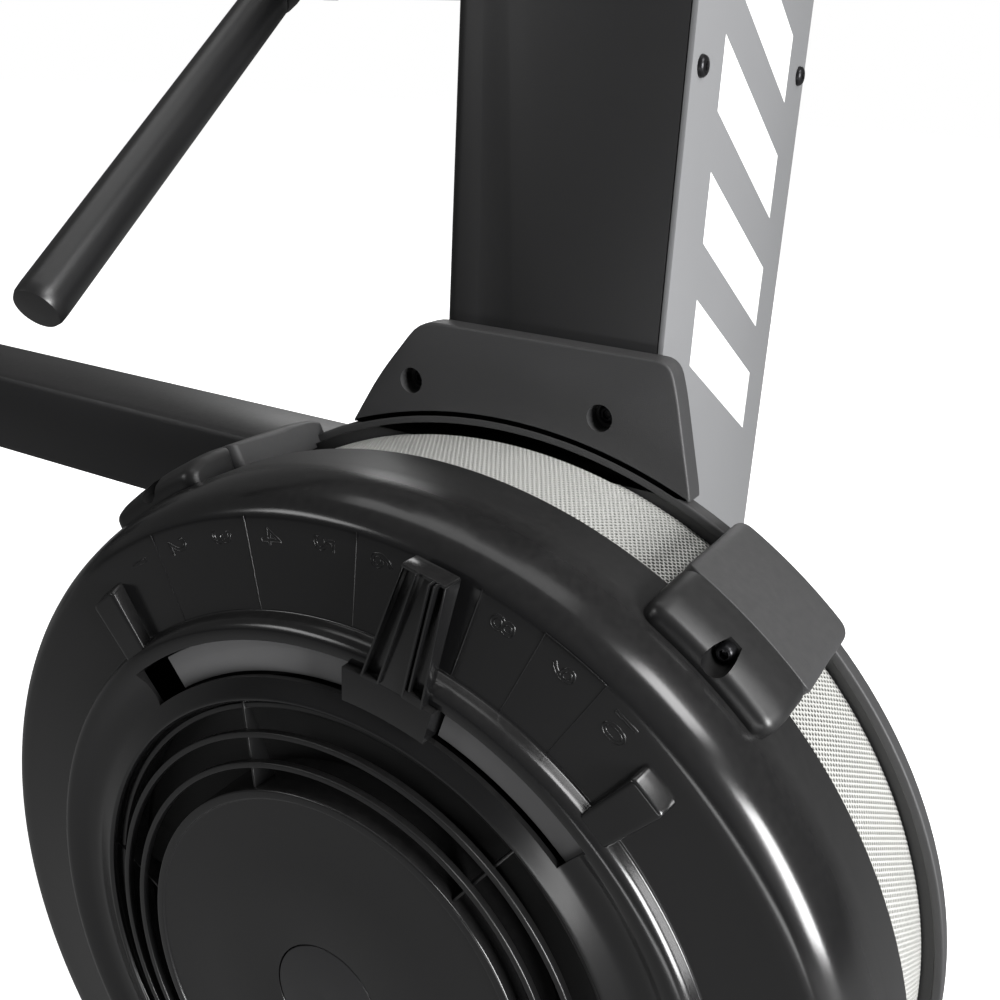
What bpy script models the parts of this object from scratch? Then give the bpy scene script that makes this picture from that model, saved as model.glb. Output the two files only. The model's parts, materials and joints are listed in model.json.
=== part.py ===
"""Rowing machine with an air fan beside a box column.

Axes: +X from the seat towards the fan, +Y to the rower's left, +Z up. The origin is on the floor, under the
middle of the whole machine. Metres.
"""

import math

import bmesh
import bpy
from mathutils import Matrix, Vector

# Driving dimensions
GAP = 0.0003
FAN_RADIUS = 0.25
FAN_X = 0.945
FAN_Z = 0.29
MESH_FRONT_Y = -0.1665
LUG_RADIUS = 1.09 * FAN_RADIUS
LUG_COUNT = 5
LUG_FIRST_DEG = 36.3
LUG_HALF_DEG = 7.7
LEVER_DEG = 9.4
COLUMN_REAR = FAN_X - 0.048
COLUMN_FRONT = FAN_X + 0.078
COLUMN_HALF = 0.0865
COLUMN_LOW = 0.062
COLUMN_TOP = 1.06
CHAIN_Z = FAN_Z + 0.481
HANDLE_X = FAN_X - 0.226
HANDLE_HALF = 0.295
HANDLE_LINE = Vector((-0.154, 0.808, 0.568)).normalized()
SPROCKET_PITCH = 0.030
LOWER_IDLER = (FAN_X - 0.030, 0.455, 0.012)
UPPER_IDLER = (FAN_X, CHAIN_Z - SPROCKET_PITCH, SPROCKET_PITCH)
REAR_PULLEY = (-1.120, 0.452, 0.015)
TAIL_X = -0.60
FOOT_TOP = 0.052
PAD_HEIGHT = 0.0197
BEAM_JOIN_X = 0.16
SEAT_X = -0.25
ROLLER_RADIUS = 0.018
TRACK_TOP = 0.4803
HEEL = Vector((0.020, 0.360))
TOE = Vector((0.195, 0.560))
ARM_PIVOT = (FAN_X + 0.015, 1.094)
TILT_PIVOT = (0.700, 1.116)
MONITOR_X = 0.664
FRONT_X = FAN_X + LUG_RADIUS * math.sin(math.radians(LUG_FIRST_DEG + 360 / LUG_COUNT - LUG_HALF_DEG))


# Shapes
def clear_scene():
    for obj in list(bpy.data.objects):
        bpy.data.objects.remove(obj, do_unlink=True)


def material(name, colour, roughness, metallic=0.0):
    mat = bpy.data.materials.get(name)
    if mat is None:
        mat = bpy.data.materials.new(name)
        mat.use_nodes = True
        shader = mat.node_tree.nodes["Principled BSDF"]
        shader.inputs["Base Color"].default_value = (*colour, 1.0)
        shader.inputs["Roughness"].default_value = roughness
        shader.inputs["Metallic"].default_value = metallic
    return mat


def black_plastic():
    return material("black_plastic", (0.022, 0.022, 0.023), 0.45)


def gloss_plastic():
    return material("gloss_plastic", (0.012, 0.012, 0.013), 0.2)


def black_steel():
    return material("black_steel", (0.030, 0.030, 0.032), 0.5, 0.3)


def bright_steel():
    return material("bright_steel", (0.58, 0.58, 0.58), 0.3, 1.0)


def rubber():
    return material("rubber", (0.020, 0.020, 0.020), 0.8)


def add(name, mesh, mat, parent=None, location=(0.0, 0.0, 0.0)):
    """Puts a mesh in the scene as one named sub-part, smooth where its faces meet gently."""
    mesh.name = name
    mesh.materials.append(mat)
    mesh.shade_smooth()
    mesh.set_sharp_from_angle(angle=math.radians(32))
    obj = bpy.data.objects.new(name, mesh)
    bpy.context.scene.collection.objects.link(obj)
    obj.location = location
    obj.parent = parent
    return obj


def empty(name, location):
    obj = bpy.data.objects.new(name, None)
    bpy.context.scene.collection.objects.link(obj)
    obj.location = location
    return obj


def to_mesh(bm):
    bmesh.ops.recalc_face_normals(bm, faces=bm.faces)
    mesh = bpy.data.meshes.new("shape")
    bm.to_mesh(mesh)
    bm.free()
    return mesh


def merged(meshes):
    """Several separate closed bodies as one mesh."""
    bm = bmesh.new()
    for mesh in meshes:
        bm.from_mesh(mesh)
    return to_mesh(bm)


def moved(mesh, matrix):
    mesh.transform(matrix)
    return mesh


def loft(rings, closed=False):
    """Skin over rings of points: capped at both ends, or joined last to first."""
    bm = bmesh.new()
    loops = [[bm.verts.new(p) for p in ring] for ring in rings]
    count = len(loops[0])
    pairs = list(zip(loops, loops[1:]))
    if closed:
        pairs.append((loops[-1], loops[0]))
    for a, b in pairs:
        for i in range(count):
            j = (i + 1) % count
            bm.faces.new((a[i], a[j], b[j], b[i]))
    if not closed:
        bm.faces.new(loops[0])
        bm.faces.new(loops[-1])
    return to_mesh(bm)


def prism(outline, axis, low, high):
    """An outline extruded along an axis; it is in X, Z for axis Y, in Y, Z for axis X, in X, Y for axis Z."""

    def place(a, b, c):
        return {"X": (c, a, b), "Y": (a, c, b), "Z": (a, b, c)}[axis]

    return loft([[place(a, b, c) for a, b in outline] for c in (low, high)])


def block(low, high, round_by=0.0, steps=2):
    bm = bmesh.new()
    bmesh.ops.create_cube(bm, size=1.0)
    size = [b - a for a, b in zip(low, high)]
    middle = [(a + b) / 2 for a, b in zip(low, high)]
    bmesh.ops.scale(bm, vec=size, verts=bm.verts)
    bmesh.ops.translate(bm, vec=middle, verts=bm.verts)
    if round_by:
        bmesh.ops.bevel(bm, geom=bm.edges[:], offset=round_by, segments=steps, profile=0.5, affect="EDGES")
    return to_mesh(bm)


def square_tube(low, high, wall, axis, round_by=0.004):
    """A hollow bar, open at both ends along the axis, with rounded long edges."""
    a, b = [k for k in range(3) if k != axis]

    def ring(inset, end):
        radius = max(round_by - inset, 0.001)
        points = []
        for sa, sb, start in ((1, 1, 0), (-1, 1, 90), (-1, -1, 180), (1, -1, 270)):
            ca = (high[a] - inset - radius) if sa > 0 else (low[a] + inset + radius)
            cb = (high[b] - inset - radius) if sb > 0 else (low[b] + inset + radius)
            for turn in (0, 45, 90):
                angle = math.radians(start + turn)
                point = [0.0, 0.0, 0.0]
                point[a] = ca + radius * math.cos(angle)
                point[b] = cb + radius * math.sin(angle)
                point[axis] = end
                points.append(point)
        return points

    bottom, top = low[axis], high[axis]
    return loft([ring(0, bottom), ring(0, top), ring(wall, top), ring(wall, bottom)], closed=True)


def sector(section, start_deg, end_deg, steps, centre=(0.0, 0.0)):
    """A section of (radius, y) points swept about the Y axis, from up towards +X, closed by flat ends."""
    rings = []
    for k in range(steps + 1):
        angle = math.radians(start_deg + (end_deg - start_deg) * k / steps)
        sine, cosine = math.sin(angle), math.cos(angle)
        rings.append([(centre[0] + r * sine, y, centre[1] + r * cosine) for r, y in section])
    return loft(rings)


def turned(section, segments, centre=(0.0, 0.0)):
    """A closed section of (radius, y) points turned right round the Y axis; a ring, so no radius is zero."""
    rings = []
    for k in range(segments):
        angle = math.tau * k / segments
        sine, cosine = math.sin(angle), math.cos(angle)
        rings.append([(centre[0] + r * sine, y, centre[1] + r * cosine) for r, y in section])
    return loft(rings, closed=True)


def rod(start, end, radius, sides=16):
    """A plain round bar between two points."""
    start, end = Vector(start), Vector(end)
    along = (end - start).normalized()
    side = along.orthogonal().normalized()
    other = along.cross(side)
    rings = []
    for centre in (start, end):
        rings.append(
            [centre + radius * (math.cos(t) * side + math.sin(t) * other) for t in circle(sides)]
        )
    return loft(rings)


def pipe(start, end, outer, inner, sides=16):
    """A round tube, open at both ends."""
    start, end = Vector(start), Vector(end)
    along = (end - start).normalized()
    side = along.orthogonal().normalized()
    other = along.cross(side)

    def ring(centre, radius):
        return [centre + radius * (math.cos(t) * side + math.sin(t) * other) for t in circle(sides)]

    return loft([ring(start, outer), ring(end, outer), ring(end, inner), ring(start, inner)], closed=True)


def circle(sides):
    return [math.tau * k / sides for k in range(sides)]


def arc(centre_x, centre_z, radius, start_deg, end_deg, steps):
    """Points on an arc in X and Z; the angle runs from +X towards +Z."""
    points = []
    for k in range(steps + 1):
        angle = math.radians(start_deg + (end_deg - start_deg) * k / steps)
        points.append((centre_x + radius * math.cos(angle), centre_z + radius * math.sin(angle)))
    return points


def ribbon(path, half_width, half_thickness):
    """A flat bar that follows a path in X and Z."""
    rings = []
    for k, (x, z) in enumerate(path):
        before = Vector(path[max(k - 1, 0)])
        after = Vector(path[min(k + 1, len(path) - 1)])
        tangent = (after - before).normalized()
        normal = Vector((-tangent.y, tangent.x)) * half_thickness
        rings.append(
            [
                (x + normal.x, -half_width, z + normal.y),
                (x + normal.x, half_width, z + normal.y),
                (x - normal.x, half_width, z - normal.y),
                (x - normal.x, -half_width, z - normal.y),
            ]
        )
    return loft(rings)


def cutter(name, mesh, parent=None):
    obj = add(name, mesh, black_plastic(), parent)
    obj.hide_render = True
    obj.display_type = "WIRE"
    return obj


def boolean(obj, other, operation):
    modifier = obj.modifiers.new(operation.lower(), "BOOLEAN")
    modifier.operation = operation
    modifier.object = other


def turn_about_y(angle_deg):
    return Matrix.Rotation(math.radians(angle_deg), 4, "Y")


# Column, base and rail
def column():
    corner = 0.008
    wall = 0.003
    edge = COLUMN_FRONT - 0.0035
    outer = [(edge, -COLUMN_HALF)]
    for sign, start in ((-1, 270), (1, 180)):
        for k in range(4):
            angle = math.radians(start - 30 * k)
            outer.append(
                (
                    COLUMN_REAR + corner + corner * math.cos(angle),
                    sign * (COLUMN_HALF - corner) + corner * math.sin(angle),
                )
            )
    outer.append((edge, COLUMN_HALF))
    inner = [
        (edge, COLUMN_HALF - wall),
        (COLUMN_REAR + wall, COLUMN_HALF - wall),
        (COLUMN_REAR + wall, -COLUMN_HALF + wall),
        (edge, -COLUMN_HALF + wall),
    ]
    shell = add("column_shell", prism(outer + inner, "Z", COLUMN_LOW, COLUMN_TOP), black_steel())
    bearing_bore = rod((FAN_X, -0.1, FAN_Z), (FAN_X, 0.1, FAN_Z), 0.0183, 24)
    boom_slot = block((COLUMN_REAR - 0.01, -0.0155, CHAIN_Z - 0.0125), (COLUMN_REAR + 0.01, 0.0155, CHAIN_Z + 0.0125))
    tail_slot = block((COLUMN_REAR - 0.01, -0.015, 0.455), (COLUMN_REAR + 0.01, 0.015, 0.477))
    boolean(shell, cutter("column_cuts", merged([bearing_bore, boom_slot, tail_slot])), "DIFFERENCE")

    plate = block((COLUMN_FRONT - 0.003, -COLUMN_HALF, COLUMN_LOW), (COLUMN_FRONT, COLUMN_HALF, COLUMN_TOP))
    add("front_plate", plate, material("plate_paint", (0.075, 0.077, 0.082), 0.45, 0.2))

    cap_low = COLUMN_TOP + GAP
    cap = add(
        "column_cap",
        block((COLUMN_REAR, -COLUMN_HALF, cap_low), (COLUMN_FRONT, COLUMN_HALF, cap_low + 0.016), 0.003),
        black_plastic(),
    )
    ears = []
    for side in (-1, 1):
        x, z = ARM_PIVOT
        outline = [(x + 0.014, cap_low + 0.008), *arc(x, z, 0.012, 0, 180, 6), (x - 0.014, cap_low + 0.008)]
        ears.append(prism(outline, "Y", *sorted((side * 0.0122, side * 0.0182))))
    boolean(cap, cutter("cap_ears", merged(ears)), "UNION")
    pin = rod((ARM_PIVOT[0], -0.03, ARM_PIVOT[1]), (ARM_PIVOT[0], 0.03, ARM_PIVOT[1]), 0.0045, 12)
    boolean(cap, cutter("cap_pin_hole", pin), "DIFFERENCE")
    bolt = rod((ARM_PIVOT[0], -0.0195, ARM_PIVOT[1]), (ARM_PIVOT[0], 0.0195, ARM_PIVOT[1]), 0.0040, 12)
    add("arm_bolt", bolt, bright_steel())


def base():
    beam = square_tube((0.865, -0.04, 0.020), (1.0950, 0.04, COLUMN_LOW - GAP), 0.003, 0)
    add("base_beam", beam, black_steel())
    foot_low, foot_high = 1.0955, 1.1455
    front_tube = square_tube((foot_low, -0.262, 0.020), (foot_high, 0.262, FOOT_TOP), 0.003, 1)
    add("front_foot", front_tube, black_steel())
    rear_tube = square_tube((-1.130, -0.265, 0.020), (-1.080, 0.265, FOOT_TOP), 0.003, 1)
    rear_leg = add("rear_leg", rear_tube, black_steel())
    post = square_tube((-1.127, -0.025, FOOT_TOP - 0.0015), (-1.083, 0.025, 0.4217), 0.003, 2)
    boolean(rear_leg, cutter("rear_post", post), "UNION")
    add("front_pad", block((1.104, -0.235, 0.0), (1.138, 0.235, PAD_HEIGHT), 0.003, 1), rubber())
    add("rear_pad", block((-1.126, -0.262, 0.0), (-1.084, 0.262, PAD_HEIGHT), 0.003, 1), rubber())

    axle_x, axle_z = 1.1205, 0.036
    for side, word in ((-1, "right"), (1, "left")):
        hub = empty(f"wheel_axis_{word}", (axle_x, side * 0.272, axle_z))
        tread = [(0.0056, -0.008), (0.026, -0.008), (0.030, -0.005)]
        tread += [(0.030, 0.005), (0.026, 0.008), (0.0056, 0.008)]
        add(f"transport_wheel_{word}", turned(tread, 20), rubber(), hub)
    add("wheel_axle", rod((axle_x, -0.2815, axle_z), (axle_x, 0.2815, axle_z), 0.005, 12), bright_steel())


def rail():
    beam = square_tube((BEAM_JOIN_X + 0.0005, -0.036, 0.418), (COLUMN_REAR - GAP, 0.036, 0.482), 0.003, 0, 0.006)
    add("front_beam", beam, black_steel())
    extrusion = square_tube((-1.205, -0.032, 0.422), (BEAM_JOIN_X, 0.032, 0.478), 0.0025, 0, 0.005)
    add("seat_rail", extrusion, material("rail_aluminium", (0.30, 0.30, 0.31), 0.4, 0.9))
    add("rail_track", block((-1.19, -0.0305, 0.4783), (0.14, 0.0305, TRACK_TOP)), bright_steel())
    add("rail_end_cap", block((-FRONT_X, -0.034, 0.420), (-1.2053, 0.034, 0.480), 0.0025), black_plastic())


# Fan housing; the assembly's own origin is on the fan's axis, in the plane of the mesh's front edge
def fan_housing(axis):
    cover = [
        (0.2585, -0.0005),
        (0.2585, -0.0300),
        (0.2575, -0.0400),
        (0.2540, -0.0510),
        (0.2480, -0.0590),
        (0.2400, -0.0635),
        (0.1965, -0.0655),
        (0.1945, -0.0690),
        (0.1905, -0.0695),
        (0.1860, -0.0660),
        (0.1660, -0.0560),
        (0.1600, -0.0500),
        (0.1580, -0.0470),
        (0.1635, -0.0520),
        (0.1845, -0.0625),
        (0.2385, -0.0605),
        (0.2460, -0.0565),
        (0.2515, -0.0490),
        (0.2550, -0.0390),
        (0.2560, -0.0300),
        (0.2560, -0.0090),
        (0.2480, -0.0090),
        (0.2480, -0.0060),
        (0.2560, -0.0060),
        (0.2560, -0.0005),
    ]
    shell = add("front_cover", turned(cover, 72), gloss_plastic(), axis)
    slot = sector([(0.1663, -0.080), (0.1663, -0.040), (0.1860, -0.040), (0.1860, -0.080)], -43, 43, 18)
    boolean(shell, cutter("damper_slot", slot, axis), "DIFFERENCE")
    stops = []
    for side in (-1, 1):
        block_section = [(0.192, -0.0620), (0.192, -0.0730), (0.230, -0.0730), (0.232, -0.0620)]
        stops.append(sector(block_section, *sorted((side * 39.0, side * 43.5)), 2))
    boolean(shell, cutter("lever_stops", merged(stops), axis), "UNION")

    band = [(0.2492, -0.0055), (0.2500, -0.0055), (0.2500, 0.0697), (0.2492, 0.0697)]
    add("mesh_band", turned(band, 72), bright_steel(), axis)

    back = [
        (0.0400, 0.0730),
        (0.0400, 0.0760),
        (0.2610, 0.0760),
        (0.2610, 0.0660),
        (0.2560, 0.0660),
        (0.2560, 0.0700),
        (0.2480, 0.0700),
        (0.2480, 0.0730),
    ]
    rear = add("back_cover", turned(back, 72), black_plastic(), axis)
    lugs_and_arms(shell, rear, axis)


def grille_and_hub(axis):
    rings = []
    for radius, front, depth in ((0.1475, -0.0570, 0.009), (0.1300, -0.0640, 0.010)):
        section = [
            (radius - 0.0013, front),
            (radius - 0.0013, front + depth),
            (radius + 0.0013, front + depth),
            (radius + 0.0013, front),
        ]
        rings.append(turned(section, 48))
    grille = add("intake_grille", merged(rings), gloss_plastic(), axis)
    ribs = []
    for k in range(6):
        rib = block((-0.0012, -0.0560, 0.1140), (0.0012, -0.0500, 0.1582))
        ribs.append(moved(rib, turn_about_y(30 + 60 * k)))
    boolean(grille, cutter("grille_ribs", merged(ribs), axis), "UNION")

    cap = [
        (0.0150, -0.0797),
        (0.0300, -0.0797),
        (0.0300, -0.0812),
        (0.1070, -0.0797),
        (0.1125, -0.0777),
        (0.1135, -0.0740),
        (0.1135, -0.0500),
        (0.1110, -0.0500),
        (0.1110, -0.0735),
        (0.1060, -0.0765),
        (0.0150, -0.0780),
    ]
    add("hub_cap", turned(cap, 48), gloss_plastic(), axis)


def lugs_and_arms(front_cover, back_cover, axis):
    """Each spacer is a lug moulded on the front cover, screwed to an arm moulded on the back cover."""
    lug = [
        (0.2572, -0.0315),
        (0.2600, -0.0335),
        (0.2640, -0.0340),
        (0.2690, -0.0290),
        (0.2720, -0.0200),
        (LUG_RADIUS, -0.0120),
        (LUG_RADIUS, -0.0002),
        (0.2572, -0.0002),
    ]
    arm = [
        (0.2515, 0.0002),
        (LUG_RADIUS, 0.0002),
        (LUG_RADIUS, 0.0730),
        (0.2700, 0.0757),
        (0.2590, 0.0757),
        (0.2590, 0.0655),
        (0.2515, 0.0655),
    ]
    lugs, arms, pockets = [], [], []
    for k in range(LUG_COUNT):
        middle = LUG_FIRST_DEG + 360 / LUG_COUNT * k
        lugs.append(sector(lug, middle - LUG_HALF_DEG, middle + LUG_HALF_DEG, 6))
        arms.append(sector(arm, middle - LUG_HALF_DEG, middle + LUG_HALF_DEG, 6))
        pocket = rod((0, -0.05, 0.2655), (0, -0.018, 0.2655), 0.0052, 12)
        pockets.append(moved(pocket, turn_about_y(middle)))
    boolean(front_cover, cutter("cover_lugs", merged(lugs), axis), "UNION")
    boolean(front_cover, cutter("lug_pockets", merged(pockets), axis), "DIFFERENCE")
    boolean(back_cover, cutter("spacer_arms", merged(arms), axis), "UNION")


def column_bracket(axis):
    """The shaped plate that carries the housing on the column, over the top of the back cover."""
    low_arc = []
    for k in range(13):
        angle = math.radians(-22.0 + (23.6 + 22.0) * k / 12)
        low_arc.append((0.2616 * math.sin(angle), 0.2616 * math.cos(angle)))
    right = [(0.1040, 0.2450), (0.0925, 0.2920), (0.0880, 0.3020), (0.0790, 0.3070)]
    left = [(-0.0440, 0.3070), (-0.0550, 0.3030), (-0.0800, 0.2735)]
    plate = add("column_bracket", prism(low_arc + right + left, "Y", 0.0660, 0.0795), black_plastic(), axis)
    holes = [rod((x, 0.05, 0.2735), (x, 0.0770, 0.2735), 0.0070, 20) for x in (-0.0585, 0.0535)]
    boolean(plate, cutter("bracket_holes", merged(holes), axis), "DIFFERENCE")


def damper(axis):
    ring = [(0.0750, -0.0452), (0.0750, -0.0427), (0.1920, -0.0427), (0.1920, -0.0452)]
    add("damper_ring", turned(ring, 40), black_plastic(), axis)

    def polar(radius, degrees):
        angle = math.radians(LEVER_DEG + degrees)
        return (radius * math.sin(angle), radius * math.cos(angle))

    foot = [polar(0.1672, a) for a in (-8.0, -4.0, 0.0, 4.0, 8.0)]
    foot += [polar(0.1851, a) for a in (8.0, 4.0, 0.0, -4.0, -8.0)]
    lever = add("damper_lever", prism(foot, "Y", -0.0720, -0.0455), gloss_plastic(), axis)
    arm = [polar(0.1780, -6.5), polar(0.2455, -1.8), polar(0.2455, 1.8), polar(0.1780, 6.5)]
    fin = [polar(0.1900, -0.45), polar(0.2470, -0.35), polar(0.2470, 0.35), polar(0.1900, 0.45)]
    boolean(lever, cutter("lever_arm", prism(arm, "Y", -0.0780, -0.0703), axis), "UNION")
    boolean(lever, cutter("lever_fin", prism(fin, "Y", -0.0960, -0.0740), axis), "UNION")


def rotor(axis):
    blades = 18
    outline = []
    for k in range(blades):
        for radius, part in ((0.070, 0.0), (0.070, 0.80), (0.218, 0.86), (0.218, 0.94)):
            angle = math.tau * (k + part) / blades
            outline.append((radius * math.sin(angle), radius * math.cos(angle)))
    wheel = add("fan_wheel", prism(outline, "Y", -0.0300, 0.0500), black_plastic(), axis)
    bore = rod((0, -0.06, 0), (0, 0.08, 0), 0.0103, 24)
    boolean(wheel, cutter("fan_bore", bore, axis), "DIFFERENCE")
    disc = [(0.0103, 0.0503), (0.0103, 0.0600), (0.2250, 0.0600), (0.2250, 0.0503)]
    add("flywheel_disc", turned(disc, 48), bright_steel(), axis)
    end = COLUMN_HALF - MESH_FRONT_Y - 0.003
    add("fan_shaft", rod((0, -0.0380, 0), (0, end, 0), 0.0100, 24), bright_steel(), axis)
    for middle, word in ((-MESH_FRONT_Y - 0.0815, "fan_side"), (-MESH_FRONT_Y + 0.0815, "far_side")):
        race = [(0.0102, middle - 0.005), (0.0102, middle + 0.005)]
        race += [(0.0180, middle + 0.005), (0.0180, middle - 0.005)]
        add(f"shaft_bearing_{word}", turned(race, 24), bright_steel(), axis)


# Chain drive
def spool(pitch, bore):
    """A wheel with a groove for the chain or cord, turned about Y."""
    groove = pitch - 0.0036
    rim = pitch + 0.0030
    return turned(
        [
            (bore, -0.0085),
            (rim, -0.0085),
            (rim, -0.0055),
            (groove, -0.0050),
            (groove, 0.0050),
            (rim, 0.0055),
            (rim, 0.0085),
            (bore, 0.0085),
        ],
        24,
    )


def chain_drive():
    add(
        "drive_sprocket",
        spool(SPROCKET_PITCH, 0.0103),
        bright_steel(),
        empty("sprocket_axis", (FAN_X, 0.0, FAN_Z)),
    )
    plate = block((COLUMN_REAR + 0.0035, 0.0120, 0.4350), (FAN_X + 0.017, 0.0150, 0.7550))
    bracket = add("idler_bracket", plate, black_steel())
    studs = []
    for name, (x, z, pitch), bore in (
        ("upper_idler", UPPER_IDLER, 0.0053),
        ("lower_idler", LOWER_IDLER, 0.0033),
        ("cord_pulley", REAR_PULLEY, 0.0043),
    ):
        add(name, spool(pitch, bore), black_plastic(), empty(f"{name}_axis", (x, 0.0, z)))
        studs.append(((x, -0.0100, z), (x, 0.0135, z), bore - GAP))
    boolean(bracket, cutter("idler_studs", merged([rod(*stud, 12) for stud in studs[:2]])), "UNION")
    x, z = REAR_PULLEY[:2]
    add("pulley_axle", rod((x, -0.0290, z), (x, 0.0290, z), 0.0040, 12), bright_steel())

    path = [(FAN_X - 0.033, CHAIN_Z)]
    path += arc(UPPER_IDLER[0], UPPER_IDLER[1], UPPER_IDLER[2], 90, 0, 6)
    path += arc(FAN_X, FAN_Z, SPROCKET_PITCH, 0, -176, 12)
    path += arc(LOWER_IDLER[0], LOWER_IDLER[1], LOWER_IDLER[2], 0, 90, 6)
    path += [(TAIL_X, LOWER_IDLER[1] + LOWER_IDLER[2])]
    steel = material("chain_steel", (0.45, 0.44, 0.42), 0.35, 1.0)
    add("drive_chain", ribbon(path, 0.0045, 0.0030), steel)
    run = block((HANDLE_X + 0.0170, -0.0045, CHAIN_Z - 0.003), (FAN_X - 0.0335, 0.0045, CHAIN_Z + 0.003))
    add("chain_run", run, steel)

    upper = REAR_PULLEY[1] + REAR_PULLEY[2]
    lower = REAR_PULLEY[1] - REAR_PULLEY[2]
    route = [(TAIL_X - GAP, upper), (TAIL_X - 0.25, upper)]
    route += arc(REAR_PULLEY[0], REAR_PULLEY[1], REAR_PULLEY[2], 90, 270, 8)
    route += [(TAIL_X, lower), (0.12, lower)]
    add("return_cord", ribbon(route, 0.0035, 0.0030), material("cord", (0.05, 0.05, 0.05), 0.9))

    boom_low = (HANDLE_X + 0.031, -0.015, CHAIN_Z - 0.012)
    boom_high = (COLUMN_REAR + 0.012, 0.015, CHAIN_Z + 0.012)
    add("chain_boom", square_tube(boom_low, boom_high, 0.002, 0), black_steel())
    bumper_low = (HANDLE_X + 0.019, -0.017, CHAIN_Z - 0.013)
    bumper_high = (HANDLE_X + 0.0305, 0.017, CHAIN_Z + 0.013)
    add("boom_bumper", square_tube(bumper_low, bumper_high, 0.0085, 0), rubber())


def handle():
    """A straight bar across the chain's line, turned on its swivel as it hangs."""
    centre = empty("handle_axis", (HANDLE_X, 0.0, CHAIN_Z))
    along = HANDLE_LINE
    bar_end = along * (HANDLE_HALF - 0.003)
    add("handle_bar", rod(-bar_end, bar_end, 0.0102, 20), black_steel(), centre)
    for side, word in ((-1, "right"), (1, "left")):
        grip = pipe(side * along * 0.026, side * along * HANDLE_HALF, 0.0130, 0.0105, 20)
        add(f"handle_grip_{word}", grip, rubber(), centre)
    yoke = pipe(-along * 0.0255, along * 0.0255, 0.0150, 0.0105, 20)
    add("handle_yoke", yoke, black_plastic(), centre)


# Foot rests, seat and monitor
def along_plate(distance, height):
    """A point over the footplate: distance up from its heel end, height off its top face."""
    direction = (TOE - HEEL).normalized()
    normal = Vector((-direction.y, direction.x))
    point = HEEL + direction * distance + normal * height
    return (point.x, point.y)


def foot_rests():
    length = (TOE - HEEL).length
    crossbar_top = 0.4178
    bar = block((0.110, -0.156, crossbar_top - 0.022), (0.160, 0.156, crossbar_top - GAP), 0.004)
    add("foot_crossbar", bar, black_steel())
    plate = [
        along_plate(0.0, 0.0),
        along_plate(length, 0.0),
        along_plate(length, -0.010),
        (0.165, 0.5050),
        (0.160, crossbar_top),
        (0.110, crossbar_top),
        (0.092, 0.4220),
        along_plate(0.0, -0.010),
    ]
    heel_shelf = [
        along_plate(0.008, GAP),
        along_plate(0.140, GAP),
        along_plate(0.140, 0.0045),
        along_plate(0.020, 0.0060),
        along_plate(0.016, 0.0480),
        along_plate(0.008, 0.0480),
    ]
    strap_ring = []
    for radius, turns in ((0.0600, range(0, 13)), (0.0572, range(12, -1, -1))):
        for k in turns:
            angle = math.pi * k / 12
            strap_ring.append((radius * math.cos(angle), radius * math.sin(angle)))
    direction = (TOE - HEEL).normalized()
    normal = Vector((-direction.y, direction.x))
    for side, word in ((-1, "right"), (1, "left")):
        near, far = sorted((side * 0.043, side * 0.155))
        add(f"footplate_{word}", prism(plate, "Y", near, far), black_plastic())
        holder = empty(f"heel_axis_{word}", (0.0, side * 0.0995, 0.0))
        add(f"heel_cup_{word}", prism(heel_shelf, "Y", -0.045, 0.045), rubber(), holder)
        rings = []
        for distance in (0.160, 0.200):
            base_point = HEEL + direction * distance
            rings.append(
                [
                    (
                        base_point.x + normal.x * (b + 0.0005),
                        side * 0.0995 + a,
                        base_point.y + normal.y * (b + 0.0005),
                    )
                    for a, b in strap_ring
                ]
            )
        add(f"foot_strap_{word}", loft(rings), material("webbing", (0.03, 0.03, 0.03), 0.9))


def seat():
    carriage_axis = empty("seat_axis", (SEAT_X, 0.0, 0.0))
    top = 0.5260
    channel = [
        (-0.0410, 0.4060),
        (-0.0410, top),
        (0.0410, top),
        (0.0410, 0.4060),
        (0.0300, 0.4060),
        (0.0300, 0.4100),
        (0.0370, 0.4100),
        (0.0370, top - 0.006),
        (-0.0370, top - 0.006),
        (-0.0370, 0.4100),
        (-0.0300, 0.4100),
        (-0.0300, 0.4060),
    ]
    add("seat_carriage", prism(channel, "X", -0.090, 0.090), black_steel(), carriage_axis)
    pad = block((-0.125, -0.165, top + GAP), (0.125, 0.165, top + 0.022), 0.009)
    add("seat_pad", pad, material("seat_foam", (0.025, 0.025, 0.026), 0.7), carriage_axis)
    wheels = [
        (0.0012, -0.0360),
        (0.0040, -0.0360),
        (0.0040, -0.0300),
        (ROLLER_RADIUS, -0.0300),
        (ROLLER_RADIUS, -0.0190),
        (0.0040, -0.0190),
        (0.0040, 0.0190),
        (ROLLER_RADIUS, 0.0190),
        (ROLLER_RADIUS, 0.0300),
        (0.0040, 0.0300),
        (0.0040, 0.0360),
        (0.0012, 0.0360),
    ]
    for offset, word in ((0.060, "front"), (-0.060, "rear")):
        height = TRACK_TOP + GAP + ROLLER_RADIUS
        axis = empty(f"roller_axis_{word}", (SEAT_X + offset, 0.0, height))
        add(f"seat_rollers_{word}", turned(wheels, 20), material("roller", (0.6, 0.6, 0.58), 0.5), axis)


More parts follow.
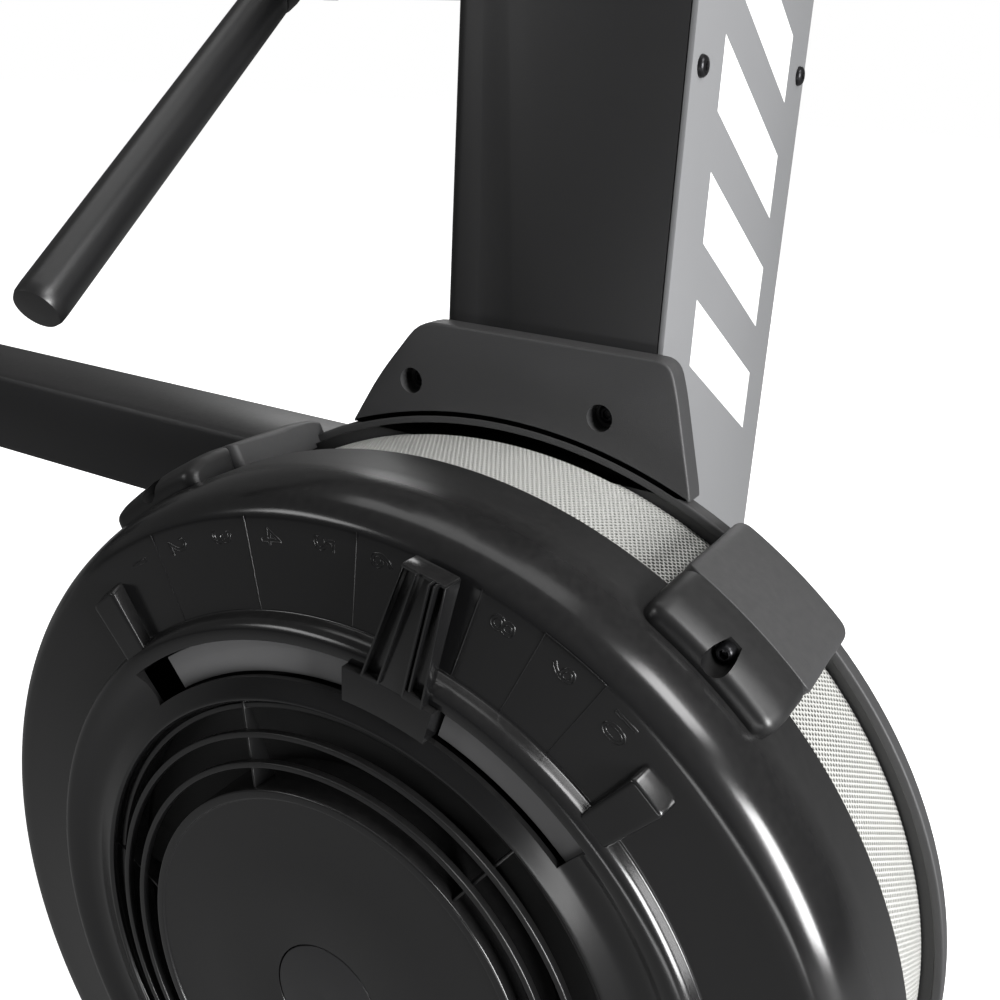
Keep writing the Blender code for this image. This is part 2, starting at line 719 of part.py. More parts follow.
def monitor():
    arm_axis = empty("arm_axis", (ARM_PIVOT[0], 0.0, ARM_PIVOT[1]))
    dx, dz = TILT_PIVOT[0] - ARM_PIVOT[0], TILT_PIVOT[1] - ARM_PIVOT[1]
    outline = [*arc(0.0, 0.0, 0.010, -90, 90, 6), *arc(dx, dz, 0.010, 90, 270, 6)]
    arm = add("monitor_arm", prism(outline, "Y", -0.0118, 0.0118), black_steel(), arm_axis)
    holes = [
        rod((0.0, -0.03, 0.0), (0.0, 0.03, 0.0), 0.0045, 12),
        rod((dx, -0.03, dz), (dx, 0.03, dz), 0.0045, 12),
    ]
    boolean(arm, cutter("arm_holes", merged(holes), arm_axis), "DIFFERENCE")

    tilt = empty("tilt_axis", (TILT_PIVOT[0], 0.0, TILT_PIVOT[1]))
    face = MONITOR_X - TILT_PIVOT[0]
    shell = block((face, -0.085, -0.062), (face + 0.022, 0.085, 0.0685), 0.004)
    case = add("monitor_case", shell, black_plastic(), tilt)
    ears = []
    for side in (-1, 1):
        ear = [(face + 0.018, -0.013), *arc(0.0, 0.0, 0.0115, -90, 90, 6), (face + 0.018, 0.013)]
        ears.append(prism(ear, "Y", *sorted((side * 0.0122, side * 0.0182))))
    boolean(case, cutter("case_ears", merged(ears), tilt), "UNION")
    pin = rod((0, -0.0150, 0), (0, 0.0150, 0), 0.0040, 12)
    boolean(case, cutter("case_pin", pin, tilt), "UNION")
    recess = block((face - 0.005, -0.072, -0.030), (face + 0.003, 0.072, 0.056))
    buttons = [rod((face - 0.005, y, -0.046), (face + 0.008, y, -0.046), 0.0085, 16) for y in (-0.03, 0.03)]
    boolean(case, cutter("case_cuts", merged([recess, *buttons]), tilt), "DIFFERENCE")
    screen = block((face + 0.0010, -0.0715, -0.0295), (face + 0.0027, 0.0715, 0.0555))
    add("monitor_screen", screen, material("screen", (0.10, 0.12, 0.11), 0.15), tilt)
    for y, word in ((-0.03, "right"), (0.03, "left")):
        button_axis = empty(f"button_axis_{word}", (MONITOR_X, y, TILT_PIVOT[1] - 0.046))
        cap = rod((-0.0030, 0, 0), (0.0045, 0, 0), 0.0080, 16)
        add(f"monitor_button_{word}", cap, material("button", (0.25, 0.26, 0.27), 0.5), button_axis)


clear_scene()
column()
base()
rail()
fan_axis = empty("fan_axis", (FAN_X, MESH_FRONT_Y, FAN_Z))
fan_housing(fan_axis)
grille_and_hub(fan_axis)
column_bracket(fan_axis)
damper(fan_axis)
rotor(fan_axis)
chain_drive()
handle()
foot_rests()
seat()
monitor()
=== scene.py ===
"""Looks for the rowing machine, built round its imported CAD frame. Metres, +X towards the fan, +Z up."""

import json
import math

import bmesh
import bpy
import numpy as np
from mathutils import Matrix, Vector


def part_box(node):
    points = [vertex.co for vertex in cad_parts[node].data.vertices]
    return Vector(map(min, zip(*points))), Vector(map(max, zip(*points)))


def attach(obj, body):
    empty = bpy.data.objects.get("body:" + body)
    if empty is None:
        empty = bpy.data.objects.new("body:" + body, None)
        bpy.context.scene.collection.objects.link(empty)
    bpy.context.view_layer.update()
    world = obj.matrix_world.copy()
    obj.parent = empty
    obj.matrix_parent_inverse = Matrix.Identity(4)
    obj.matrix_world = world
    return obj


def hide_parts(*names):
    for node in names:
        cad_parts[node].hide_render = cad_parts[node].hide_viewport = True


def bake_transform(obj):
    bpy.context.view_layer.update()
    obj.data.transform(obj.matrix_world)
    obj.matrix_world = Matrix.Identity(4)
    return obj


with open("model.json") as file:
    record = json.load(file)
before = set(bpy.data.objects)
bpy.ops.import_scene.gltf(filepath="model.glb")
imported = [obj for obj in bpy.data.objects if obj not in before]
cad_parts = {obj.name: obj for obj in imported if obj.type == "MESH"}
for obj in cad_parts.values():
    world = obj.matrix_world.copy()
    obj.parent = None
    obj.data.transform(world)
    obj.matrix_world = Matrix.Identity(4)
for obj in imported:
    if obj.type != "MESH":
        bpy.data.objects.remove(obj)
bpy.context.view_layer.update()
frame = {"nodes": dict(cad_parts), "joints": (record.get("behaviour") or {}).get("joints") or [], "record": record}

# ----------------------------------------
# Camera and studio. The viewpoint stands in front of the fan, a little to the right and above it.
# Wide soft boxes stand over and round the machine, and one low strip lies in front of the fan.
fan_low, fan_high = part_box("mesh_band")
FAN_X = (fan_low.x + fan_high.x) / 2
FAN_Z = (fan_low.z + fan_high.z) / 2
FRONT_Y = fan_low.y + 0.0055
RADIUS = 0.25


def aim(azimuth, elevation, roll=0.0):
    """Rotation that looks along an azimuth (0 is +Y, 90 is -X), down by an elevation, rolled clockwise."""
    a, e, t = (math.radians(v) for v in (azimuth, elevation, roll))
    forward = Vector((-math.sin(a) * math.cos(e), math.cos(a) * math.cos(e), -math.sin(e)))
    side = Vector((math.cos(a), math.sin(a), 0.0))
    over = side.cross(forward)
    right = math.cos(t) * side + math.sin(t) * over
    up = -math.sin(t) * side + math.cos(t) * over
    return Matrix((right, up, -forward)).transposed()


lens = bpy.data.cameras.new("camera")
lens.sensor_width = 36.0
lens.lens = 40.95
lens.clip_start, lens.clip_end = 0.02, 50.0
camera = bpy.data.objects.new("camera", lens)
bpy.context.scene.collection.objects.link(camera)
camera.location = (FAN_X + 0.27646, -0.59420, FAN_Z + 0.42685)
camera.rotation_mode = "QUATERNION"
camera.rotation_quaternion = aim(29.23, 20.22, 3.06).to_quaternion()
bpy.context.scene.camera = camera


def soft_box(name, place, target, size, power):
    """A rectangular lamp, aimed at a target; size in metres, power in watts."""
    light = bpy.data.lights.new(name, "AREA")
    light.shape = "RECTANGLE"
    light.size, light.size_y = size
    light.energy = power
    lamp = bpy.data.objects.new(name, light)
    bpy.context.scene.collection.objects.link(lamp)
    lamp.location = place
    lamp.rotation_mode = "QUATERNION"
    lamp.rotation_quaternion = (Vector(target) - Vector(place)).to_track_quat("-Z", "Y")
    lamp.visible_camera = False


soft_box("overhead", (0.3, 0.0, 3.2), (0.3, 0.0, 0.4), (2.8, 1.2), 16.0)
soft_box("front_high", (2.7, -0.3, 2.5), (0.9, 0.0, 0.5), (1.0, 0.8), 34.0)
soft_box("front_side", (3.7, -0.9, 1.0), (0.9, 0.0, 0.5), (1.0, 1.4), 150.0)
soft_box("near_side", (-2.2, -3.2, 2.3), (0.7, 0.0, 0.4), (1.6, 0.9), 26.0)
soft_box("near_low", (1.42, -1.35, 0.13), (0.72, -0.20, 0.29), (0.9, 0.16), 2.6)
soft_box("far_side", (-0.6, 3.4, 2.2), (0.0, 0.0, 0.5), (2.6, 1.2), 40.0)

world = bpy.data.worlds.new("studio")
bpy.context.scene.world = world
world.use_nodes = True
sky = world.node_tree.nodes["Background"]
sky.inputs["Color"].default_value = (1.0, 1.0, 1.0, 1.0)
seen = world.node_tree.nodes.new("ShaderNodeMapRange")
seen.inputs["To Min"].default_value = 0.13
ray = world.node_tree.nodes.new("ShaderNodeLightPath")
world.node_tree.links.new(ray.outputs["Is Camera Ray"], seen.inputs["Value"])
world.node_tree.links.new(seen.outputs[0], sky.inputs["Strength"])
bpy.context.scene.view_settings.view_transform = "Standard"


# ----------------------------------------
# Floor. One wide, plain, pale sheet, a hair below the rubber feet; it isn't part of the machine.
def shader_of(name):
    """A new material, its Principled shader's inputs and its node tree."""
    mat = bpy.data.materials.new(name)
    mat.use_nodes = True
    return mat, mat.node_tree.nodes["Principled BSDF"].inputs, mat.node_tree


def feed(tree, socket, value):
    """Links a node's output into a socket, or sets the socket to a constant."""
    if isinstance(value, bpy.types.NodeSocket):
        tree.links.new(value, socket)
    else:
        socket.default_value = value


def node(tree, kind, inputs=None, **settings):
    """A node of that kind, fed by input name or number; the settings are its own properties."""
    made = tree.nodes.new(kind)
    for key, value in settings.items():
        setattr(made, key, value)
    for key, value in (inputs or {}).items():
        feed(tree, made.inputs[key], value)
    return made


floor_mesh = bpy.data.meshes.new("floor")
floor_corners = [(-30, -30, -0.0005), (30, -30, -0.0005), (30, 30, -0.0005), (-30, 30, -0.0005)]
floor_mesh.from_pydata(floor_corners, [], [(0, 1, 2, 3)])
floor = bpy.data.objects.new("floor", floor_mesh)
bpy.context.scene.collection.objects.link(floor)
floor_paint, shader, tree = shader_of("floor_paint")
shader["Roughness"].default_value = 0.9
shader["Specular IOR Level"].default_value = 0.1
shader["Emission Color"].default_value = (1.0, 1.0, 1.0, 1.0)
seen = node(tree, "ShaderNodeLightPath").outputs["Is Camera Ray"]
tints = {"Factor": seen, 6: (0.30, 0.30, 0.30, 1.0), 7: (0.93, 0.93, 0.93, 1.0)}
tint = node(tree, "ShaderNodeMix", tints, data_type="RGBA")
feed(tree, shader["Base Color"], tint.outputs["Result"])
glow = node(tree, "ShaderNodeMapRange", {"Value": seen, "To Min": 0.0, "To Max": 0.92})
feed(tree, shader["Emission Strength"], glow.outputs[0])
floor_mesh.materials.append(floor_paint)


# ----------------------------------------
# Column. Folded steel box, powder coated satin black, with a rounded fold at each rear corner.
# The coat has a fine orange-peel skin, and a thin dust lies where it faces up.
def maths(tree, operation, first, second=0.0, **settings):
    """The output of one math node."""
    return node(tree, "ShaderNodeMath", {0: first, 1: second}, operation=operation, **settings).outputs[0]


def position(tree):
    """Where a point of the surface lies at rest, in metres."""
    return node(tree, "ShaderNodeTexCoord").outputs["Object"]


def split(tree, vector):
    """The X, Y and Z of a vector."""
    return node(tree, "ShaderNodeSeparateXYZ", {0: vector}).outputs


def surface_group():
    """Shared finish: fine grain as a normal, slow mottling of tone and roughness, dust on upward faces."""
    group = bpy.data.node_groups.new("surface", "ShaderNodeTree")
    face = group.interface
    for name, kind, value in (
        ("Colour", "NodeSocketColor", (0.02, 0.02, 0.02, 1.0)),
        ("Roughness", "NodeSocketFloat", 0.5),
        ("Grain per metre", "NodeSocketFloat", 900.0),
        ("Grain height", "NodeSocketFloat", 0.2),
        ("Mottle", "NodeSocketFloat", 0.2),
        ("Dust", "NodeSocketFloat", 0.1),
    ):
        face.new_socket(name=name, in_out="INPUT", socket_type=kind).default_value = value
    face.new_socket(name="Colour", in_out="OUTPUT", socket_type="NodeSocketColor")
    face.new_socket(name="Roughness", in_out="OUTPUT", socket_type="NodeSocketFloat")
    face.new_socket(name="Normal", in_out="OUTPUT", socket_type="NodeSocketVector")
    given = node(group, "NodeGroupInput").outputs
    spot = position(group)

    def noise(per_metre, detail):
        values = {"Vector": spot, "Scale": per_metre, "Detail": detail}
        return node(group, "ShaderNodeTexNoise", values).outputs["Fac"]

    grain = noise(given["Grain per metre"], 3.0)
    relief = {"Strength": given["Grain height"], "Distance": 0.0004, "Height": grain}
    bump = node(group, "ShaderNodeBump", relief)
    swing = maths(group, "SUBTRACT", noise(14.0, 4.0), 0.5)
    swing = maths(group, "MULTIPLY", swing, given["Mottle"])
    rough = maths(group, "ADD", given["Roughness"], swing, use_clamp=True)
    facing = split(group, node(group, "ShaderNodeNewGeometry").outputs["Normal"])["Z"]
    up = node(group, "ShaderNodeMapRange", {"Value": facing, "From Min": 0.3, "From Max": 1.0}).outputs[0]
    dust = maths(group, "MULTIPLY", up, noise(260.0, 6.0))
    dust = maths(group, "MULTIPLY", dust, given["Dust"])
    tones = {"Factor": dust, 6: given["Colour"], 7: (0.30, 0.29, 0.28, 1.0)}
    tone = node(group, "ShaderNodeMix", tones, data_type="RGBA").outputs["Result"]
    value = maths(group, "ADD", swing, 1.0)
    bright = node(group, "ShaderNodeHueSaturation", {"Value": value, "Color": tone})
    results = {"Colour": bright.outputs["Color"], "Roughness": rough, "Normal": bump.outputs["Normal"]}
    node(group, "NodeGroupOutput", results)
    return group


SURFACE = surface_group()


def finish(name, colour, roughness, metallic=0.0, grain=900.0, height=0.2, mottle=0.15, dust=0.06):
    """A material with the shared finish. Grain is in cells per metre, height a share of 0.4 mm."""
    mat, shader, tree = shader_of(name)
    shader["Metallic"].default_value = metallic
    values = {"Colour": (*colour, 1.0), "Roughness": roughness, "Grain per metre": grain}
    values |= {"Grain height": height, "Mottle": mottle, "Dust": dust}
    group = tree.nodes.new("ShaderNodeGroup")
    group.node_tree = SURFACE
    for key, value in values.items():
        group.inputs[key].default_value = value
    for output, socket in (("Colour", "Base Color"), ("Roughness", "Roughness"), ("Normal", "Normal")):
        feed(tree, shader[socket], group.outputs[output])
    return mat


def opened(mat):
    """A finished material's shader inputs, and its node tree."""
    return mat.node_tree.nodes["Principled BSDF"].inputs, mat.node_tree


def feeding(socket):
    """The output that is linked into a socket."""
    return socket.links[0].from_socket


def place(name, mesh, mat, body, slot, smooth=35.0, replaces=()):
    """Puts a finished mesh in the scene as a piece that rides on a body."""
    mesh.materials.clear()
    mesh.materials.append(mat)
    mesh.shade_smooth()
    mesh.set_sharp_from_angle(angle=math.radians(smooth))
    piece = bpy.data.objects.new(name, mesh)
    bpy.context.scene.collection.objects.link(piece)
    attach(piece, body)
    if replaces:
        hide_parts(*replaces)
    return piece


def body_with(cad_node):
    """The name of the body that holds a CAD node."""
    for body, members in frame["record"]["behaviour"]["bodies"].items():
        if cad_node in members:
            return body


def crisp(cad_node, mat, slot, radius=0.0008, steps=2):
    """The CAD solid's own shape as one clean mesh, its edges broken by a small radius."""
    bm = bmesh.new()
    bm.from_mesh(frame["nodes"][cad_node].data)
    bmesh.ops.remove_doubles(bm, verts=bm.verts, dist=1e-6)
    bmesh.ops.dissolve_limit(bm, angle_limit=math.radians(1.0), verts=bm.verts, edges=bm.edges)
    if radius:
        sharp = [e for e in bm.edges if len(e.link_faces) == 2 and e.calc_face_angle(0.0) > math.radians(33)]
        bmesh.ops.bevel(
            bm, geom=sharp, offset=radius, segments=steps, profile=0.5, affect="EDGES", clamp_overlap=True
        )
    for layer in list(bm.loops.layers.float_vector):
        bm.loops.layers.float_vector.remove(layer)
    mesh = bpy.data.meshes.new(cad_node)
    bm.to_mesh(mesh)
    bm.free()
    if "custom_normal" in mesh.attributes:
        mesh.attributes.remove(mesh.attributes["custom_normal"])
    return place(f"{cad_node}_piece", mesh, mat, body_with(cad_node), slot, replaces=(cad_node,))


column_coat = finish("column_coat", (0.0110, 0.0110, 0.0115), 0.46, 0.0, 1500.0, 0.10, 0.10, 0.05)
crisp("column_shell", column_coat, "black_steel", 0.0006)

moulding = finish("moulding", (0.0150, 0.0150, 0.0155), 0.50, 0.0, 2600.0, 0.22, 0.10, 0.06)
crisp("column_cap", moulding, "black_plastic", 0.0010)


# ----------------------------------------
# Front plate. Mid-grey powder-coated sheet, screwed over the open side of the column.
# Plain slanted white stripes are printed up its middle.
def plate_paint():
    """Grey coat with slanted white stripes, each 34 mm of every 62 mm of height."""
    mat = finish("plate_paint", (0.180, 0.182, 0.187), 0.48, 0.0, 1500.0, 0.08, 0.06, 0.03)
    shader, tree = opened(mat)
    spot = split(tree, position(tree))
    slant = maths(tree, "MULTIPLY", spot["Y"], 0.55)
    height = maths(tree, "ADD", spot["Z"], slant)
    phase = maths(tree, "MODULO", height, 0.062)
    facing = split(tree, node(tree, "ShaderNodeNewGeometry").outputs["Normal"])
    mask = maths(tree, "LESS_THAN", phase, 0.034)
    for operation, value, limit in (
        ("GREATER_THAN", spot["Y"], -0.0480),
        ("LESS_THAN", spot["Y"], 0.0560),
        ("GREATER_THAN", height, 0.558),
        ("LESS_THAN", height, 0.992),
        ("GREATER_THAN", facing["X"], 0.5),
    ):
        mask = maths(tree, "MULTIPLY", mask, maths(tree, operation, value, limit))
    tones = {"Factor": mask, 6: feeding(shader["Base Color"]), 7: (0.86, 0.86, 0.86, 1.0)}
    feed(tree, shader["Base Color"], node(tree, "ShaderNodeMix", tones, data_type="RGBA").outputs["Result"])
    return mat


crisp("front_plate", plate_paint(), "plate_paint", 0.0004)


# Screws: dome-headed steel screws with a hexagon socket, blackened. Each is a turned head with a
# six-sided pocket that runs into it, drawn as rings from the rim in to the socket's floor.
def outward(mesh):
    """Turns every face of a closed mesh outward."""
    bm = bmesh.new()
    bm.from_mesh(mesh)
    bmesh.ops.recalc_face_normals(bm, faces=bm.faces)
    bm.to_mesh(mesh)
    bm.free()


def ring_mesh(name, rings, closed=False):
    """Skin over an array of rings (count, sides, 3): its ends filled, or joined to each other."""
    rings = np.asarray(rings, float)
    count, sides = rings.shape[:2]
    index = np.arange(count * sides).reshape(count, sides)
    a = index if closed else index[:-1]
    b = np.roll(index, -1, 0)[: len(a)]
    faces = np.stack([a, np.roll(a, -1, 1), np.roll(b, -1, 1), b], -1).reshape(-1, 4).tolist()
    if not closed:
        faces += [index[0][::-1].tolist(), index[-1].tolist()]
    mesh = bpy.data.meshes.new(name)
    mesh.from_pydata(rings.reshape(-1, 3).tolist(), [], faces)
    outward(mesh)
    return mesh


def joined(name, meshes):
    """Several meshes as one."""
    bm = bmesh.new()
    for mesh in meshes:
        bm.from_mesh(mesh)
    mesh = bpy.data.meshes.new(name)
    bm.to_mesh(mesh)
    bm.free()
    return mesh


def screw_head(place_at, axis, head, tall, socket):
    """Rings of 24 points: round outside, and six-sided where the key goes in."""
    axis = Vector(axis).normalized()
    side = axis.orthogonal().normalized()
    other = axis.cross(side)
    turn = np.arange(24) * math.tau / 24
    hexagon = math.cos(math.pi / 6) / np.cos((turn % (math.tau / 6)) - math.pi / 6)
    round_one = np.ones(24)
    rows = [
        (head * 0.96, -0.002, round_one),
        (head, 0.0, round_one),
        (head, tall * 0.25, round_one),
        (head * 0.93, tall * 0.62, round_one),
        (head * 0.78, tall * 0.90, round_one),
        (head * 0.60, tall, round_one),
        (socket * 1.06, tall, hexagon),
        (socket, tall * 0.93, hexagon),
        (socket * 0.98, tall * 0.15, hexagon),
        (socket * 0.2, tall * 0.05, hexagon),
    ]
    flat = np.stack([np.cos(turn), np.sin(turn)], 1)
    rings = []
    for radius, rise, shape in rows:
        spot = flat * (radius * shape)[:, None]
        ring = np.outer(spot[:, 0], side) + np.outer(spot[:, 1], other) + np.array(axis) * rise
        rings.append(ring + np.array(place_at))
    return ring_mesh("screw", rings)


black_screw = finish("black_screw", (0.020, 0.020, 0.022), 0.33, 0.7, 3000.0, 0.05, 0.2, 0.0)
plate_low, plate_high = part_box("front_plate")
plate_screws = [
    screw_head((plate_high.x - 0.0002, y, FAN_Z + z), (1, 0, 0), 0.0052, 0.0030, 0.0022)
    for y in (plate_low.y + 0.011, plate_high.y - 0.011)
    for z in (-0.1425, 0.1475, 0.4375, 0.7275)
]
place("plate_screws", joined("plate_screws", plate_screws), black_screw, "frame", "bright_steel", 40)


# ----------------------------------------
# Fan housing, front cover. Glossy black moulding: flange band at the perforated sheet, rounded shoulder,
# annulus that carries the scale, a raised rim with the lever's slot in it, and a shallow dish.
def soften(points, reach, steps=4):
    """Each corner of a closed outline becomes a short curve that starts and ends `reach` from it."""
    points = np.asarray(points, float)
    before, after = np.roll(points, 1, 0), np.roll(points, -1, 0)
    back, ahead = before - points, after - points
    long_back = np.linalg.norm(back, axis=1)
    long_ahead = np.linalg.norm(ahead, axis=1)
    reach = np.broadcast_to(reach, long_back.shape)
    cut = np.minimum(reach, 0.48 * np.minimum(long_back, long_ahead))
    start = points + back * (cut / long_back)[:, None]
    end = points + ahead * (cut / long_ahead)[:, None]
    t = np.linspace(0, 1, steps + 1)[None, :, None]
    curve = (1 - t) ** 2 * start[:, None] + 2 * t * (1 - t) * points[:, None] + t * t * end[:, None]
    return curve.reshape(-1, 2)


def polar(radius, degrees, depth):
    """Points by radius, angle from up towards +X, and depth behind the perforated sheet's front edge."""
    a = np.radians(degrees)
    spot = (FAN_X + radius * np.sin(a), FRONT_Y + depth, FAN_Z + radius * np.cos(a))
    return np.stack(np.broadcast_arrays(*spot), -1)


def swept(name, section, angles, closed=False):
    """A section of (radius, depth) turned about the fan's axis through the angles, in degrees."""
    radius, depth = np.asarray(section, float).T
    return ring_mesh(name, polar(radius, np.asarray(angles, float)[:, None], depth), closed)


def turned(name, section, sides=180):
    """A section turned all the way round."""
    return swept(name, section, np.arange(sides) * 360.0 / sides, True)


def cut(mesh, cutters):
    """The mesh with other closed meshes cut from it."""
    held = [bpy.data.objects.new("cut", m) for m in (mesh, joined("cutters", cutters))]
    for obj in held:
        bpy.context.scene.collection.objects.link(obj)
    modifier = held[0].modifiers.new("cut", "BOOLEAN")
    modifier.operation = "DIFFERENCE"
    modifier.object = held[1]
    done = bpy.data.meshes.new_from_object(held[0].evaluated_get(bpy.context.evaluated_depsgraph_get()))
    for obj in held:
        bpy.data.objects.remove(obj)
    return done


cover_section = [
    (0.2585, -0.0005), (0.2585, -0.0300), (0.2570, -0.0430), (0.2520, -0.0560), (0.2440, -0.0628),
    (0.2380, -0.0636), (0.1972, -0.0655), (0.1958, -0.0715), (0.1915, -0.0748), (0.1862, -0.0742),
    (0.1790, -0.0708), (0.1700, -0.0702), (0.1600, -0.0738), (0.1562, -0.0752), (0.1548, -0.0735),
    (0.1548, -0.0480), (0.1580, -0.0480), (0.1585, -0.0700), (0.1660, -0.0683), (0.1860, -0.0683),
    (0.1930, -0.0620), (0.2385, -0.0605), (0.2460, -0.0565), (0.2515, -0.0490), (0.2550, -0.0390),
    (0.2560, -0.0300), (0.2560, -0.0090), (0.2490, -0.0090), (0.2490, -0.0060), (0.2560, -0.0060),
    (0.2560, -0.0005),
]
reaches = [0.0004, 0.006, 0.006, 0.006, 0.005, 0.004, 0.0012, 0.0025, 0.0025, 0.003, 0.003, 0.004]
reaches += [0.003, 0.0010, 0.0008, 0.0006, 0.0006, 0.001, 0.001, 0.001, 0.002, 0.003, 0.003, 0.003]
reaches += [0.003, 0.003, 0.001, 0.0004, 0.0004, 0.0004, 0.0003]
slot_section = [(0.1664, -0.080), (0.1664, -0.040), (0.1859, -0.040), (0.1859, -0.080)]
slot_tool = swept("slot", slot_section, np.linspace(-43, 43, 60))
cover_mesh = cut(turned("front_cover", soften(cover_section, reaches), 240), [slot_tool])


def cover_gloss():
    """Polished shoulder and lugs, a matte flange band next to the sheet, and fine scuffs all over."""
    mat = finish("cover_gloss", (0.0062, 0.0062, 0.0065), 0.19, 0.0, 700.0, 0.020, 0.08, 0.05)
    shader, tree = opened(mat)
    depth = split(tree, position(tree))["Y"]
    ends = {"Value": depth, "From Min": FRONT_Y - 0.040, "From Max": FRONT_Y - 0.026, "To Max": 0.30}
    matte = node(tree, "ShaderNodeMapRange", ends).outputs[0]
    feed(tree, shader["Roughness"], maths(tree, "ADD", feeding(shader["Roughness"]), matte))
    return mat


gloss = cover_gloss()
place("cover", cover_mesh, gloss, "frame", "gloss_plastic", 30, ("front_cover",))


# Lugs. Five glossy blocks moulded on the cover's rim, each with a deep round pocket for its cap screw.
# The ends are rolled over: the section shrinks towards the flange along a circular arc.
def rolled(name, section, base, middle, half, roll, steps=36):
    """A section swept from -half to +half degrees, drawn in towards `base` near both ends by a radius."""
    section = np.asarray(section, float)
    share = np.sin(np.linspace(-math.pi / 2, math.pi / 2, steps))
    turn = middle + half * share
    arc = RADIUS * math.radians(half) * (1 - np.abs(share))
    near = np.clip(1 - arc / roll, 0, 1)
    draw = roll * (1 - np.sqrt(1 - 0.97 * near**2))
    span = np.linalg.norm(section - base, axis=1)
    keep = 1 - draw[:, None] / np.maximum(span, 1e-6)[None, :]
    keep = np.clip(keep, 0.02, 1)
    spread = base + (section - base)[None] * keep[..., None]
    return ring_mesh(name, polar(spread[..., 0], turn[:, None], spread[..., 1]))


def along_y(radius, start, end, angle, reach, sides=32):
    """A round rod parallel to the fan's axis at a polar place."""
    turn = np.arange(sides) * math.tau / sides
    ring = np.stack([radius * np.cos(turn), np.zeros(sides), radius * np.sin(turn)], 1)
    return ring_mesh("rod", [ring + polar(reach, angle, y) for y in (start, end)])


LUG_TURNS = 36.3 + 72.0 * np.arange(5)
lug_section = [
    (0.2545, -0.0004), (0.2545, -0.0330), (0.2600, -0.0345), (0.2660, -0.0330), (0.2705, -0.0240),
    (0.2722, -0.0110), (0.2722, -0.0004),
]
lug_curve = soften(lug_section, [0.0005, 0.0005, 0.003, 0.004, 0.004, 0.004, 0.0008], 5)
lugs = []
for turn_at in LUG_TURNS:
    lug = rolled("lug", lug_curve, np.array([0.2550, -0.0100]), turn_at, 7.75, 0.0070)
    lugs.append(cut(lug, [along_y(0.0060, -0.06, -0.0185, turn_at, 0.2662)]))
place("cover_lugs", joined("cover_lugs", lugs), gloss, "frame", "gloss_plastic", 38)
lug_screws = [screw_head(polar(0.2655, a, -0.0188), (0, -1, 0), 0.0043, 0.0046, 0.0023) for a in LUG_TURNS]
place("lug_screws", joined("lug_screws", lug_screws), black_screw, "frame", "bright_steel", 40)


# Scale. Numbers 1 to 10 and thin dividing lines, raised a fraction of a millimetre from the annulus.
# The outlines are half-sunk threads of plastic that follow each figure, turned to read along the arc.
def annulus_depth(radius):
    """Depth of the cover's annulus, which rises 1.9 mm from its outer edge in to the rim."""
    return -0.0636 - 0.0019 * (0.238 - np.minimum(radius, 0.238)) / 0.0415


def thread(path, thick=0.00032, sides=6):
    """A thin tube along a path of (radius, degrees) on the annulus."""
    radius, turn = np.asarray(path, float).T
    line = polar(radius, turn, annulus_depth(radius))
    along = np.gradient(line, axis=0)
    along /= np.linalg.norm(along, axis=1)[:, None]
    out = np.array([0.0, -1.0, 0.0])
    side = np.cross(along, out)
    side /= np.linalg.norm(side, axis=1)[:, None]
    turns = np.arange(sides) * math.tau / sides
    rings = line[:, None] + thick * (
        np.cos(turns)[None, :, None] * side[:, None] + np.sin(turns)[None, :, None] * out
    )
    return ring_mesh("thread", rings)


def corners_of(mesh):
    """The places of a mesh's vertices, as an array (count, 3)."""
    flat = np.empty(len(mesh.vertices) * 3, np.float32)
    mesh.vertices.foreach_get("co", flat)
    return flat.reshape(-1, 3).astype(float)


def figure(text, degrees, radius, size):
    """The outline of a number as thin tubes, laid on the annulus with its top towards +angle."""
    curve = bpy.data.curves.new("figure", "FONT")
    curve.body = text
    curve.size = size
    curve.align_x, curve.align_y = "CENTER", "CENTER"
    curve.fill_mode = "NONE"
    curve.bevel_depth = 0.00032
    curve.bevel_resolution = 1
    curve.resolution_u = 5
    obj = bpy.data.objects.new("figure", curve)
    bpy.context.scene.collection.objects.link(obj)
    mesh = bpy.data.meshes.new_from_object(obj.evaluated_get(bpy.context.evaluated_depsgraph_get()))
    bpy.data.objects.remove(obj)
    flat = corners_of(mesh)
    reach = radius - flat[:, 0]
    spots = polar(reach, degrees + np.degrees(flat[:, 1] / radius), annulus_depth(reach) - flat[:, 2])
    mesh.vertices.foreach_set("co", spots.astype(np.float32).ravel())
    outward(mesh)
    return mesh


marks = [figure(str(n), -34.0 + 7.6 * (n - 1), 0.2330, 0.0165) for n in range(1, 11)]
for degrees in (-30.0, -14.6, 0.8, 16.0, 23.5, 31.0):
    marks.append(thread([(r, degrees) for r in np.linspace(0.1975, 0.2425, 12)]))
for degrees in (-14.6, 16.0):
    marks.append(thread([(0.1978, d) for d in np.linspace(degrees - 3.0, degrees, 8)]))
marks.append(thread([(0.2425, d) for d in np.linspace(23.5, 31.0, 14)]))
place("scale_marks", joined("scale_marks", marks), gloss, "frame", "gloss_plastic", 60)

# End stops. Two raised blocks beside the scale that the lever meets at each end of its travel.
# Moulded with the cover, so of the same plastic, with the tops sloping out.
stop_section = soften([(0.193, -0.0610), (0.193, -0.0725), (0.227, -0.0722), (0.2315, -0.0610)], 0.0014, 3)
stop_base = np.array([0.212, -0.0615])
stops = [rolled("stop", stop_section, stop_base, side * 41.2, 2.4, 0.0022, 20) for side in (-1, 1)]
place("lever_stops", joined("lever_stops", stops), gloss, "frame", "gloss_plastic", 38)


